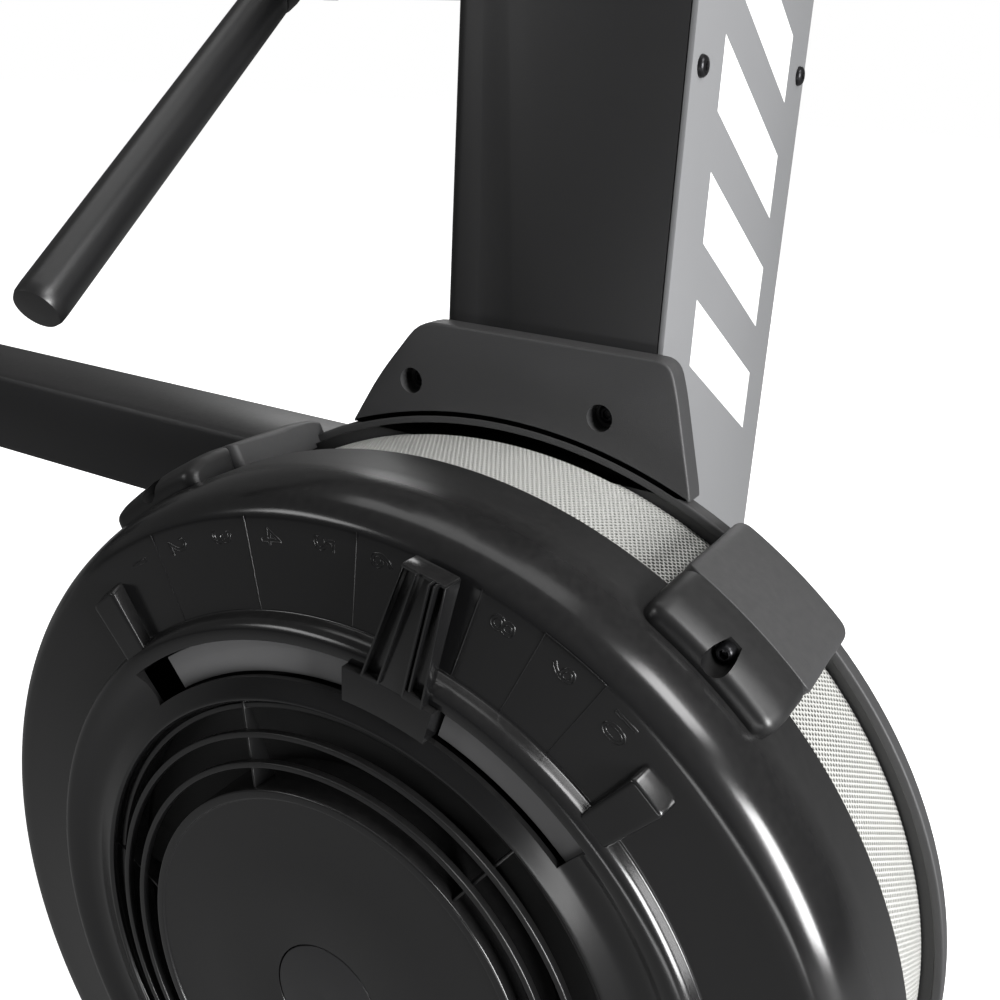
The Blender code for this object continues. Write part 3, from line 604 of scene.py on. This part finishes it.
# ----------------------------------------
# Perforated sheet. Thin stainless steel with staggered round holes at 2.6 mm, bent into a band.
# Every hole is real: the sheet is a lattice of six-sided cells, each with a hole through both faces.
def perforated(name, first, last):
    """Cells from one angle to another (degrees); rows stand 2.25 mm apart and alternate by half a pitch."""
    pitch = 0.0026
    hole_radius = 0.00098
    rows = 33
    columns = int(round(RADIUS * math.radians(last - first) / pitch))
    step = math.radians(last - first) / columns
    row, column = np.meshgrid(np.arange(rows), np.arange(columns), indexing="ij")
    centre_turn = ((column + 0.5 * (row % 2)) * step)[..., None]
    centre_depth = (-0.0046 + row * pitch * math.sqrt(3) / 2)[..., None]
    corner = np.radians(np.arange(6) * 60.0)
    turns, depths = [], []
    for reach in (pitch / math.sqrt(3), hole_radius):
        turns.append(centre_turn + np.sin(corner) * reach / pitch * step)
        depths.append(centre_depth + np.cos(corner) * reach)
    turns = np.stack(turns * 2, -2).reshape(-1, 24)
    depths = np.stack(depths * 2, -2).reshape(-1, 24)
    inside = (depths[:, :6].min(1) > -0.0056) & (depths[:, :6].max(1) < 0.0698)
    turns, depths = turns[inside], depths[inside]
    radii = np.repeat([RADIUS, RADIUS, RADIUS - 0.0008, RADIUS - 0.0008], 6)
    points = polar(radii, np.degrees(turns) + first, depths)
    k = np.arange(6)
    n = (k + 1) % 6
    outer = np.stack([k, n, n + 6, k + 6], 1)
    wall = np.stack([k + 6, n + 6, n + 18, k + 18], 1)
    inner = np.stack([k + 18, n + 18, n + 12, k + 12], 1)
    cell = np.concatenate([outer, wall, inner])
    faces = (np.arange(len(points))[:, None, None] * 24 + cell[None]).reshape(-1, 4)
    mesh = bpy.data.meshes.new(name)
    mesh.vertices.add(points.shape[0] * 24)
    mesh.vertices.foreach_set("co", points.astype(np.float32).ravel())
    mesh.loops.add(faces.size)
    mesh.loops.foreach_set("vertex_index", faces.ravel().astype(np.int32))
    mesh.polygons.add(len(faces))
    mesh.polygons.foreach_set("loop_start", (np.arange(len(faces)) * 4).astype(np.int32))
    mesh.update(calc_edges=True)
    return mesh


sheet_steel = finish("sheet_steel", (0.78, 0.78, 0.75), 0.36, 0.45, 1800.0, 0.08, 0.12, 0.0)
for part in range(5):
    band = perforated(f"perforated_band_{part + 1}", 72.0 * part, 72.0 * (part + 1))
    kept = ("mesh_band",) if part == 0 else ()
    place(f"perforated_band_{part + 1}", band, sheet_steel, "frame", "mesh_steel", 20, kept)


# ----------------------------------------
# Back cover. Matte moulded plate with a raised rim round the sheet, and an arm at each lug that carries
# the screw's thread. A parting line shows where each arm meets its lug.
back_section = [
    (0.0400, 0.0730), (0.0400, 0.0760), (0.2610, 0.0760), (0.2610, 0.0660), (0.2565, 0.0660),
    (0.2560, 0.0700), (0.2480, 0.0700), (0.2480, 0.0730),
]
back_mesh = turned("back_cover", soften(back_section, [0.0008] * 2 + [0.0016] * 2 + [0.0008] * 4), 180)
shell_plastic = finish("shell_plastic", (0.034, 0.034, 0.035), 0.52, 0.0, 2400.0, 0.25, 0.10, 0.10)
place("back_shell", back_mesh, shell_plastic, "frame", "black_plastic", 30, ("back_cover",))
arm_section = [
    (0.2540, 0.0004), (0.2722, 0.0004), (0.2724, 0.0520), (0.2705, 0.0700), (0.2680, 0.0756),
    (0.2570, 0.0756), (0.2570, 0.0655), (0.2540, 0.0655),
]
arm_curve = soften(arm_section, [0.0005, 0.0008, 0.008, 0.005, 0.002, 0.0006, 0.0006, 0.0006], 4)
arms = [rolled("arm", arm_curve, np.array([0.2545, 0.0350]), a, 7.75, 0.0060) for a in LUG_TURNS]
place("spacer_arms", joined("spacer_arms", arms), shell_plastic, "frame", "black_plastic", 38)

# Column bracket. Thick matte moulding over the back cover, bolted to the column through two deep holes.
# The bolts stand at the bottom of the holes.
outline = [(0.2616 * math.sin(a), 0.2616 * math.cos(a)) for a in np.radians(np.linspace(-22.0, 23.6, 26))]
outline += [(0.1040, 0.2450), (0.0925, 0.2920), (0.0875, 0.3068), (-0.0540, 0.3068), (-0.0800, 0.2735)]
round_off = [0.0036] + [0.0004] * 24 + [0.0024, 0.0024, 0.030, 0.010, 0.011, 0.014]
flat = soften(outline, round_off, 5)


def plate_rings(flat, near, far, edge):
    """Rings of a flat plate, its near edge rolled over by a radius, down to the far side."""
    middle = flat.mean(0)
    along = np.roll(flat, -1, 0) - np.roll(flat, 1, 0)
    normal = np.stack([-along[:, 1], along[:, 0]], 1)
    normal /= np.linalg.norm(normal, axis=1)[:, None]
    normal *= np.sign(((flat - middle) * normal).sum(1).mean())
    rows = []
    for a in np.linspace(0, math.pi / 2, 5):
        inset, depth = edge * (1 - math.sin(a)), edge * (1 - math.cos(a))
        rows.append((flat - normal * inset, near + depth))
    rows.append((flat, far))
    return [np.stack([FAN_X + f[:, 0], np.full(len(f), FRONT_Y + y), FAN_Z + f[:, 1]], 1) for f, y in rows]


bracket = ring_mesh("bracket", plate_rings(flat, 0.0662, 0.0793, 0.0014))
BOLTS_X, BOLTS_UP = (-0.0585, 0.0535), 0.2735
pits = [
    along_y(0.0070, 0.05, 0.0770, math.degrees(math.atan2(x, BOLTS_UP)), math.hypot(x, BOLTS_UP))
    for x in BOLTS_X
]
bracket = cut(bracket, pits)
place("bracket", bracket, shell_plastic, "frame", "black_plastic", 35, ("column_bracket",))
bolts = [
    screw_head((FAN_X + x, FRONT_Y + 0.0772, FAN_Z + BOLTS_UP), (0, -1, 0), 0.0050, 0.0022, 0.0025)
    for x in BOLTS_X
]
place("bracket_bolts", joined("bracket_bolts", bolts), black_screw, "frame", "bright_steel", 40)


# ----------------------------------------
# Intake grille and hub. Three thin moulded rings, each further out than the last, on six ribs across the
# dish's mouth, then a drum-like hub with a raised edge and a round plain badge set in its middle.
rings = []
for radius, front, deep in ((0.1515, -0.0700, 0.003), (0.1400, -0.0785, 0.004), (0.1258, -0.0812, 0.004)):
    outline = [(radius - 0.0015, front), (radius - 0.0015, front + deep)]
    outline += [(radius + 0.0015, front + deep), (radius + 0.0015, front)]
    rings.append(turned("ring", soften(outline, 0.0006, 3), 160))


def wall(turns, radii, fronts, backs):
    """A six-sided wall: its two side angles, front and back depth, each at its inner and its outer radius."""
    points = []
    for depths in (backs, fronts):
        for end, side in ((0, 0), (0, 1), (1, 1), (1, 0)):
            points.append(polar(radii[end], turns[end][side], depths[end]).tolist())
    faces = [(0, 1, 2, 3), (4, 5, 6, 7), (0, 1, 5, 4), (1, 2, 6, 5), (2, 3, 7, 6), (3, 0, 4, 7)]
    mesh = bpy.data.meshes.new("wall")
    mesh.from_pydata(points, [], faces)
    outward(mesh)
    bm = bmesh.new()
    bm.from_mesh(mesh)
    bmesh.ops.bevel(
        bm, geom=bm.edges[:], offset=0.0003, segments=2, profile=0.5, affect="EDGES", clamp_overlap=True
    )
    bm.to_mesh(mesh)
    bm.free()
    return mesh


def rib(turn_at, wide, radii, fronts, back):
    """A thin radial wall between two radii, wide in metres, its front edge at the two depths given."""
    turns = []
    for radius in radii:
        half = math.degrees(wide / 2 / radius)
        turns.append((turn_at - half, turn_at + half))
    return wall(turns, radii, fronts, (back, back))


for k in range(6):
    rings.append(rib(60 * k - 22.6, 0.0013, (0.1135, 0.1548), (-0.0800, -0.0700), -0.0660))
grille_plastic = finish("grille_plastic", (0.0045, 0.0045, 0.0047), 0.30, 0.0, 900.0, 0.03, 0.08, 0.03)
place("grille", joined("grille", rings), grille_plastic, "frame", "gloss_plastic", 35, ("intake_grille",))

hub_section = [
    (0.0012, -0.0797), (0.0300, -0.0797), (0.0304, -0.0812), (0.0700, -0.0814), (0.1085, -0.0810),
    (0.1090, -0.0822), (0.1135, -0.0822), (0.1140, -0.0500), (0.1110, -0.0500), (0.1110, -0.0745),
    (0.1060, -0.0775), (0.0012, -0.0780),
]
hub_reach = [0.0002, 0.0003, 0.0003, 0.004, 0.0008, 0.0006, 0.0012, 0.0006, 0.0006, 0.002, 0.002, 0.0002]
hub = turned("hub", soften(hub_section, hub_reach), 160)
place("hub", hub, gloss, "frame", "gloss_plastic", 30, ("hub_cap",))
badge_section = [(0.00004, -0.0796), (0.0296, -0.0796), (0.0296, -0.0810), (0.00004, -0.0817)]
badge_plastic = finish("badge_plastic", (0.012, 0.012, 0.013), 0.30, 0.0, 1800.0, 0.04, 0.08, 0.02)
badge = turned("badge", soften(badge_section, [0.00001, 0.0003, 0.0004, 0.00001]), 96)
place("hub_badge", badge, badge_plastic, "frame", "gloss_plastic", 30)


# ----------------------------------------
# Damper. A shutter plate turns behind the slot, near-black partly as its own plastic and partly as painted shade
# for the dark housing behind the grille, and a grey strip of painted light on it fills the slot; the lever on it
# stands over the scale: a foot in the slot and two sunk panels between ribs that meet at the tip.
ring_section = [(0.0750, -0.0452), (0.0750, -0.0427), (0.1920, -0.0427), (0.1920, -0.0452)]
# The shutter plate's near-black is partly its own plastic and partly painted shade: the solid plate fills the
# annulus where the real damper has openings into the dark housing.
shutter_black_painted_shade = finish("shutter_black_painted_shade", (0.0035, 0.0035, 0.0036), 0.62, 0.0, 1200.0, 0.06, 0.15, 0.0)
# The strip's grey is painted light: a lit floor in the slot window, much paler than the plate it lies on.
shutter_painted_light = finish("shutter_painted_light", (0.125, 0.125, 0.127), 0.55, 0.0, 1500.0, 0.06, 0.10, 0.04)
shutter_mesh = turned("damper_ring", soften(ring_section, 0.0003, 2), 160)
place("shutter_plate", shutter_mesh, shutter_black_painted_shade, "damper", "black_plastic", 30, ("damper_ring",))
# The strip starts at -37 degrees so that the slot's end from -43 to -37 stays black as a painted shadow. Its
# second sector, right of the lever's foot, carries the same painted light.
strip_section = [(0.1672, -0.0449), (0.1672, -0.0660), (0.1850, -0.0665), (0.1850, -0.0449)]
strip_curve = soften(strip_section, 0.0004, 2)
strips = [swept("strip", strip_curve, np.linspace(*ends, 60)) for ends in ((-37.0, 1.6), (17.2, 84.0))]
place("painted_light_strip", joined("painted_light_strip", strips), shutter_painted_light, "damper", "black_plastic", 30)

LEVER = 9.4


def wedge(inner, outer, radii, fronts, backs):
    """A wall on the lever; its side angles at both ends are counted from the lever's own."""
    turns = [(LEVER + pair[0], LEVER + pair[1]) for pair in (inner, outer)]
    return wall(turns, radii, fronts, backs)


foot_section = [(0.1674, -0.0456), (0.1674, -0.0768), (0.1852, -0.0780), (0.1852, -0.0456)]
lever = [swept("foot", soften(foot_section, 0.0008, 3), LEVER + np.linspace(-7.4, 7.4, 24))]
lever.append(wedge((-4.1, 5.9), (-0.4, 4.8), (0.1840, 0.2460), (-0.0750, -0.0745), (-0.0715, -0.0702)))
lever.append(wedge((-1.3, 2.7), (1.7, 3.5), (0.1840, 0.2460), (-0.0778, -0.0800), (-0.0745, -0.0740)))
for inner_radius, inner_turn, outer_turn, rise in (
    (0.1850, -4.0, -0.3, -0.0800),
    (0.1850, -1.3, 1.7, -0.0842),
    (0.1850, 2.7, 3.5, -0.0862),
    (0.1895, 3.5, 4.0, -0.0850),
    (0.1850, 5.8, 4.8, -0.0820),
):
    inner = (inner_turn - 0.16, inner_turn + 0.16)
    outer = (outer_turn - 0.12, outer_turn + 0.12)
    lever.append(wedge(inner, outer, (inner_radius, 0.2462), (-0.0790, rise), (-0.0730, -0.0705)))
lever.append(wedge((-4.1, -1.2), (-4.0, -1.15), (0.1850, 0.1868), (-0.0790, -0.0790), (-0.0730, -0.0730)))
lever.append(wedge((2.6, 5.9), (2.6, 5.8), (0.1850, 0.1895), (-0.0790, -0.0790), (-0.0730, -0.0730)))
lever.append(wedge((-0.4, 4.9), (-0.3, 4.7), (0.2448, 0.2466), (-0.0808, -0.0812), (-0.0702, -0.0702)))
place("lever", joined("lever", lever), gloss, "damper", "gloss_plastic", 35, ("damper_lever",))


# ----------------------------------------
# Rotor, seen faintly through the perforated sheet and the grille: a moulded blade wheel on a plated disc.
# Shaft and bearings are ground steel.
crisp("fan_wheel", moulding, "black_plastic", 0.0005)
plated = finish("plated_steel", (0.55, 0.55, 0.54), 0.32, 1.0, 1500.0, 0.05, 0.2, 0.0)
disc_section = soften([(0.0103, 0.0503), (0.0103, 0.0600), (0.2250, 0.0600), (0.2250, 0.0503)], 0.0008, 3)
disc = turned("flywheel", disc_section, 120)
place("flywheel", disc, plated, "rotor", "bright_steel", 30, ("flywheel_disc",))
for name in ("fan_shaft", "shaft_bearing_fan_side", "shaft_bearing_far_side", "arm_bolt", "pulley_axle"):
    crisp(name, plated, "bright_steel", 0.0004)
crisp("wheel_axle", plated, "bright_steel", 0.0006)
crisp("drive_sprocket", plated, "bright_steel", 0.0003)
for name in ("upper_idler", "lower_idler", "cord_pulley"):
    crisp(name, moulding, "black_plastic", 0.0003)


# ----------------------------------------
# Handle. Satin black steel bar in two long foam-rubber grips with rounded ends, and a moulded swivel yoke.
# The grips have a fine satin skin; the bar leans as it hangs from the chain.
HANDLE_AT = np.array([0.719, 0.0, 0.771])
line = np.array([-0.154, 0.808, 0.568])
line /= np.linalg.norm(line)


def spun(name, profile, centre, axis, sides=48):
    """A profile of (distance along, radius) turned about an axis through a centre, closed at both ends."""
    axis = np.asarray(axis, float)
    side = np.array(Vector(axis).orthogonal().normalized())
    other = np.cross(axis, side)
    turn = np.arange(sides) * math.tau / sides
    wheel = np.cos(turn)[:, None] * side + np.sin(turn)[:, None] * other
    profile = np.asarray(profile, float)
    rings = centre + profile[:, 0, None, None] * axis + profile[:, 1, None, None] * wheel[None]
    return ring_mesh(name, rings)


grip_rubber = finish("grip_rubber", (0.0080, 0.0080, 0.0083), 0.34, 0.0, 2200.0, 0.12, 0.10, 0.03)
for side, word in ((-1, "right"), (1, "left")):
    long = np.array([0.026, 0.0265, 0.028, 0.034, 0.2800, 0.2870, 0.2915, 0.2940, 0.2948])
    wide = np.array([0.0106, 0.0124, 0.0130, 0.0130, 0.0130, 0.0130, 0.0128, 0.0118, 0.0090])
    grip = spun("grip", np.stack([side * long, wide], 1), HANDLE_AT, line)
    place(f"grip_{word}", grip, grip_rubber, "handle", "rubber", 40, (f"handle_grip_{word}",))
along_yoke = np.array([-0.0255, -0.0250, -0.0200, -0.0120, 0.0, 0.0120, 0.0200, 0.0250, 0.0255])
yoke_wide = np.array([0.0108, 0.0128, 0.0140, 0.0149, 0.0150, 0.0149, 0.0140, 0.0128, 0.0108])
yoke = spun("yoke", np.stack([along_yoke, yoke_wide], 1), HANDLE_AT, line)
place("yoke", yoke, moulding, "handle", "black_plastic", 40, ("handle_yoke",))
tube_coat = finish("tube_coat", (0.0140, 0.0140, 0.0145), 0.36, 0.3, 1400.0, 0.08, 0.08, 0.03)
crisp("handle_bar", tube_coat, "black_steel", 0.0005)


# ----------------------------------------
# Chain. Nickel-plated roller chain at a half-inch pitch: pairs of waisted plates on pins with rollers.
# It pays out of the boom: its rest places are solved so that a fully pulled chain has evenly spaced links.
def link_chain(name, count):
    """A straight chain along +X from 0; each plate's outline is in millimetres, mirrored about its middle."""
    pitch = 0.0127
    turn = np.linspace(0, math.tau, 13)[:-1]
    meshes = []
    half = [(-4.0, 0.0), (-3.0, 2.3), (-0.5, 3.0), (3.2, 2.4), (6.35, 1.9)]
    half += [(9.5, 2.4), (13.2, 3.0), (15.7, 2.3), (16.7, 0.0)]
    outline = np.array(half + [(x, -z) for x, z in half[-2:0:-1]]) / 1000.0
    for k in range(count):
        gap = 0.0032 if k % 2 else 0.0022
        for side in (-1, 1):
            rings = [
                np.stack([outline[:, 0] + k * pitch, np.full(16, side * y), outline[:, 1]], 1)
                for y in (gap, gap + 0.0009)
            ]
            meshes.append(ring_mesh("plate", rings))
        pin = np.stack([k * pitch + 0.0020 * np.cos(turn), np.zeros(12), 0.0020 * np.sin(turn)], 1)
        roller = np.stack([k * pitch + 0.0029 * np.cos(turn), np.zeros(12), 0.0029 * np.sin(turn)], 1)
        meshes.append(ring_mesh("pin", [pin + [0, y, 0] for y in (-0.0044, 0.0044)]))
        meshes.append(ring_mesh("roller", [roller + [0, y, 0] for y in (-0.0021, 0.0021)]))
    return joined(name, meshes)


pull = frame["joints"][[j["name"] for j in frame["joints"]].index("handle_pull")]["range_m"][1]
run_low, run_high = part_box("chain_run")
start_x, end_x = run_high.x, run_low.x
count = int((start_x - end_x + pull) / 0.0127)
chain = link_chain("chain", count)
flat = corners_of(chain)
grid = np.linspace(start_x, end_x, 4000)
share = (start_x - grid) / (start_x - end_x)
pulled = grid - pull * share * share * (3 - 2 * share)
reach = np.clip(flat[:, 0], 0, None) / flat[:, 0].max()
wanted = start_x + reach * (end_x - pull - start_x)
rest = np.interp(-wanted, -pulled, grid)
spots = np.stack([rest, flat[:, 1], flat[:, 2] + (run_low.z + run_high.z) / 2], 1)
chain.vertices.foreach_set("co", spots.astype(np.float32).ravel())
chain_steel = finish("chain_steel", (0.46, 0.45, 0.43), 0.34, 1.0, 1800.0, 0.10, 0.35, 0.0)
chain.materials.append(chain_steel)
chain.shade_smooth()
chain.set_sharp_from_angle(angle=math.radians(40))
chain_piece = bpy.data.objects.new("pull_chain", chain)
bpy.context.scene.collection.objects.link(chain_piece)
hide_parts("chain_run")
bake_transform(chain_piece)
crisp("drive_chain", chain_steel, "chain_steel", 0.0)
crisp("chain_boom", tube_coat, "black_steel", 0.0006)
soft_rubber = finish("soft_rubber", (0.012, 0.012, 0.012), 0.66, 0.0, 1500.0, 0.35, 0.15, 0.12)
crisp("boom_bumper", soft_rubber, "rubber", 0.0010)
crisp("idler_bracket", tube_coat, "black_steel", 0.0004)


# Return cord: elastic shock cord with a woven jacket, round the rear pulley and back under the rail.
# Two crossing waves of its length and girth make the weave.
def bumped(tree, shader, height, strength, distance):
    """Lays another bump over the finish's own grain."""
    own = feeding(shader["Normal"])
    values = {"Strength": strength, "Distance": distance, "Height": height, "Normal": own}
    feed(tree, shader["Normal"], node(tree, "ShaderNodeBump", values).outputs["Normal"])


def woven(name, colour, per_metre, rough=0.85):
    mat = finish(name, colour, rough, 0.0, 2500.0, 0.4, 0.2, 0.1)
    shader, tree = opened(mat)
    spot = position(tree)
    waves = []
    for direction in ("X", "Y"):
        values = {"Vector": spot, "Scale": per_metre}
        waves.append(node(tree, "ShaderNodeTexWave", values, bands_direction=direction).outputs["Fac"])
    bumped(tree, shader, maths(tree, "MULTIPLY", *waves), 0.8, 0.0006)
    shader["Sheen Weight"].default_value = 0.3
    return mat


crisp("return_cord", woven("cord_jacket", (0.020, 0.020, 0.021), 160.0), "cord", 0.0012, 3)


# ----------------------------------------
# Base. Powder-coated steel tubes: a short beam under the column, a front foot with transport wheels, and a
# rear leg with its post. Rubber pads stand on the floor.
frame_coat = finish("frame_coat", (0.014, 0.014, 0.015), 0.44, 0.2, 1300.0, 0.12, 0.12, 0.10)
coated = ["base_beam", "front_foot", "rear_leg", "front_beam", "foot_crossbar", "seat_carriage"]
for name in [*coated, "monitor_arm"]:
    crisp(name, frame_coat, "black_steel", 0.0009)
for name in ("front_pad", "rear_pad"):
    crisp(name, soft_rubber, "rubber", 0.0012)
for side, word in ((-1, "right"), (1, "left")):
    low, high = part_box(f"transport_wheel_{word}")
    middle = np.array((low + high) / 2)
    profile = [(-0.0080, 0.0056), (-0.0080, 0.0110), (-0.0050, 0.0125), (-0.0050, 0.0200), (-0.0080, 0.0215)]
    profile += [(-0.0080, 0.0255), (-0.0066, 0.0284), (-0.0040, 0.0298), (0.0, 0.0300)]
    mirror = [(-x, r) for x, r in profile[-2::-1]]
    wheel = spun("wheel", profile + mirror, middle, (0, 1, 0), 64)
    wheel = cut(wheel, [spun("bore", [(-0.02, 0.0056), (0.02, 0.0056)], middle, (0, 1, 0), 32)])
    place(f"wheel_{word}", wheel, soft_rubber, f"wheel_{word}", "rubber", 35, (f"transport_wheel_{word}",))


# ----------------------------------------
# Rail. Grey anodised aluminium extrusion with faint drawing lines along its length, and a stainless
# running strip on top that the seat's rollers have polished.
def drawn(name, colour, rough, metal=1.0):
    """Metal with fine lines along X: noise stretched two hundredfold along the bar."""
    mat = finish(name, colour, rough, metal, 900.0, 0.04, 0.15, 0.04)
    shader, tree = opened(mat)
    stretch = node(tree, "ShaderNodeMapping", {"Vector": position(tree), "Scale": (6.0, 1400.0, 1400.0)})
    lines = {"Vector": stretch.outputs["Vector"], "Scale": 1.0, "Detail": 3.0}
    bumped(tree, shader, node(tree, "ShaderNodeTexNoise", lines).outputs["Fac"], 0.25, 0.0002)
    return mat


crisp("seat_rail", drawn("rail_metal", (0.25, 0.25, 0.26), 0.46, 0.9), "rail_aluminium", 0.0006)
crisp("rail_track", drawn("track_metal", (0.34, 0.34, 0.34), 0.40), "bright_steel", 0.0004)
crisp("rail_end_cap", moulding, "black_plastic", 0.0006)


# ----------------------------------------
# Seat. One piece of firm moulded foam with a tough skin: two shallow hollows for the sit bones, a relief
# notch at the back and a rolled edge. It is screwed to a steel carriage that runs on white nylon rollers.
low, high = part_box("seat_pad")
seat_mid = (low + high) / 2
across, around = 28, 120
turn = np.arange(around) * math.tau / around
power = 2.6
c, s = np.cos(turn), np.sin(turn)
rim = (np.abs(c) ** power + np.abs(s) ** power) ** (-1 / power)
edge_x, edge_y = rim * c, rim * s
notch = 0.20 * np.exp(-(((turn - math.pi) / 0.24) ** 2))
edge_x = edge_x * (1 - notch)
tall = high.z - low.z


def seat_top(u, v):
    """Height share over the seat: crowned, with a hollow each side and a groove from back to front."""
    hollow = 0.42 * np.exp(-(((u + 0.25) / 0.42) ** 2) - ((np.abs(v) - 0.42) / 0.26) ** 2)
    groove = 0.20 * np.exp(-((v / 0.11) ** 2)) * (u < 0.8)
    return 1.0 - 0.10 * (u * u) - hollow - groove


rings = []
for share in np.linspace(0.02, 1.0, across):
    u, v = edge_x * share, edge_y * share
    roll = np.clip((share - 0.86) / 0.14, 0, 1)
    z = low.z + tall * (seat_top(u, v) - 0.46 * roll**2)
    rings.append(np.stack([seat_mid.x + u * 0.124, seat_mid.y + v * 0.164, z], 1))
for drop, inset in ((0.34, 1.0), (0.18, 0.995), (0.07, 0.97), (0.02, 0.93)):
    u, v = edge_x * inset, edge_y * inset
    z = np.full(around, low.z + tall * drop)
    rings.append(np.stack([seat_mid.x + u * 0.124, seat_mid.y + v * 0.164, z], 1))
seat_skin = finish("seat_skin", (0.022, 0.022, 0.023), 0.58, 0.0, 1100.0, 0.45, 0.12, 0.10)
place("seat_top", ring_mesh("seat_top", rings), seat_skin, "seat", "seat_foam", 50, ("seat_pad",))
nylon = finish("nylon", (0.60, 0.60, 0.57), 0.45, 0.0, 1500.0, 0.06, 0.10, 0.0)
for word in ("front", "rear"):
    crisp(f"seat_rollers_{word}", nylon, "roller", 0.0005)


# ----------------------------------------
# Foot rests. Moulded plates on a steel crossbar, sliding rubber-faced heel cups, and woven straps
# stretched over the arch from edge to edge. The plates have a pebble texture.
pebble = finish("pebble_plastic", (0.018, 0.018, 0.019), 0.55, 0.0, 700.0, 0.50, 0.10, 0.15)
webbing = woven("strap_webbing", (0.016, 0.016, 0.017), 330.0)
for side, word in ((-1, "right"), (1, "left")):
    crisp(f"footplate_{word}", pebble, "black_plastic", 0.0020, 3)
    crisp(f"heel_cup_{word}", soft_rubber, "rubber", 0.0012, 3)
    strap_piece = crisp(f"foot_strap_{word}", webbing, "webbing", 0.0005)


# ----------------------------------------
# Monitor. Moulded case on a tilting arm, with a plain grey display window and two rubber keys.
# The display shows only a blank level bar chart, behind a smooth window.
crisp("monitor_case", moulding, "black_plastic", 0.0012, 3)


def screen_material():
    """Bars 8 mm wide at every 12 mm, their tops along a sine wave."""
    mat, shader, tree = shader_of("display")
    spot = split(tree, position(tree))
    across = maths(tree, "MODULO", maths(tree, "ADD", spot["Y"], 0.5), 0.012)
    wave = maths(tree, "SINE", maths(tree, "MULTIPLY", spot["Y"], 55.0))
    top = maths(tree, "ADD", maths(tree, "MULTIPLY", wave, 0.012), 1.122)
    mask = maths(tree, "LESS_THAN", across, 0.008)
    for operation, value, limit in (
        ("LESS_THAN", spot["Z"], top),
        ("GREATER_THAN", spot["Z"], 1.094),
        ("LESS_THAN", maths(tree, "ABSOLUTE", spot["Y"]), 0.060),
    ):
        mask = maths(tree, "MULTIPLY", mask, maths(tree, operation, value, limit))
    tones = {"Factor": mask, 6: (0.16, 0.18, 0.16, 1.0), 7: (0.03, 0.035, 0.03, 1.0)}
    feed(tree, shader["Base Color"], node(tree, "ShaderNodeMix", tones, data_type="RGBA").outputs["Result"])
    shader["Roughness"].default_value = 0.12
    shader["Coat Weight"].default_value = 0.6
    return mat


crisp("monitor_screen", screen_material(), "screen", 0.0003)
key_rubber = finish("key_rubber", (0.20, 0.21, 0.22), 0.55, 0.0, 1800.0, 0.15, 0.10, 0.0)
for word in ("right", "left"):
    low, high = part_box(f"monitor_button_{word}")
    middle = np.array((low + high) / 2)
    half = (high.x - low.x) / 2
    profile = [(-half, 0.0030), (-half + 0.0004, 0.0060), (-half + 0.0014, 0.0076), (-half + 0.0026, 0.0080)]
    profile += [(half, 0.0080)]
    key = spun("key", profile, middle, (1, 0, 0), 40)
    place(f"key_{word}", key, key_rubber, f"button_{word}", "button", 50, (f"monitor_button_{word}",))
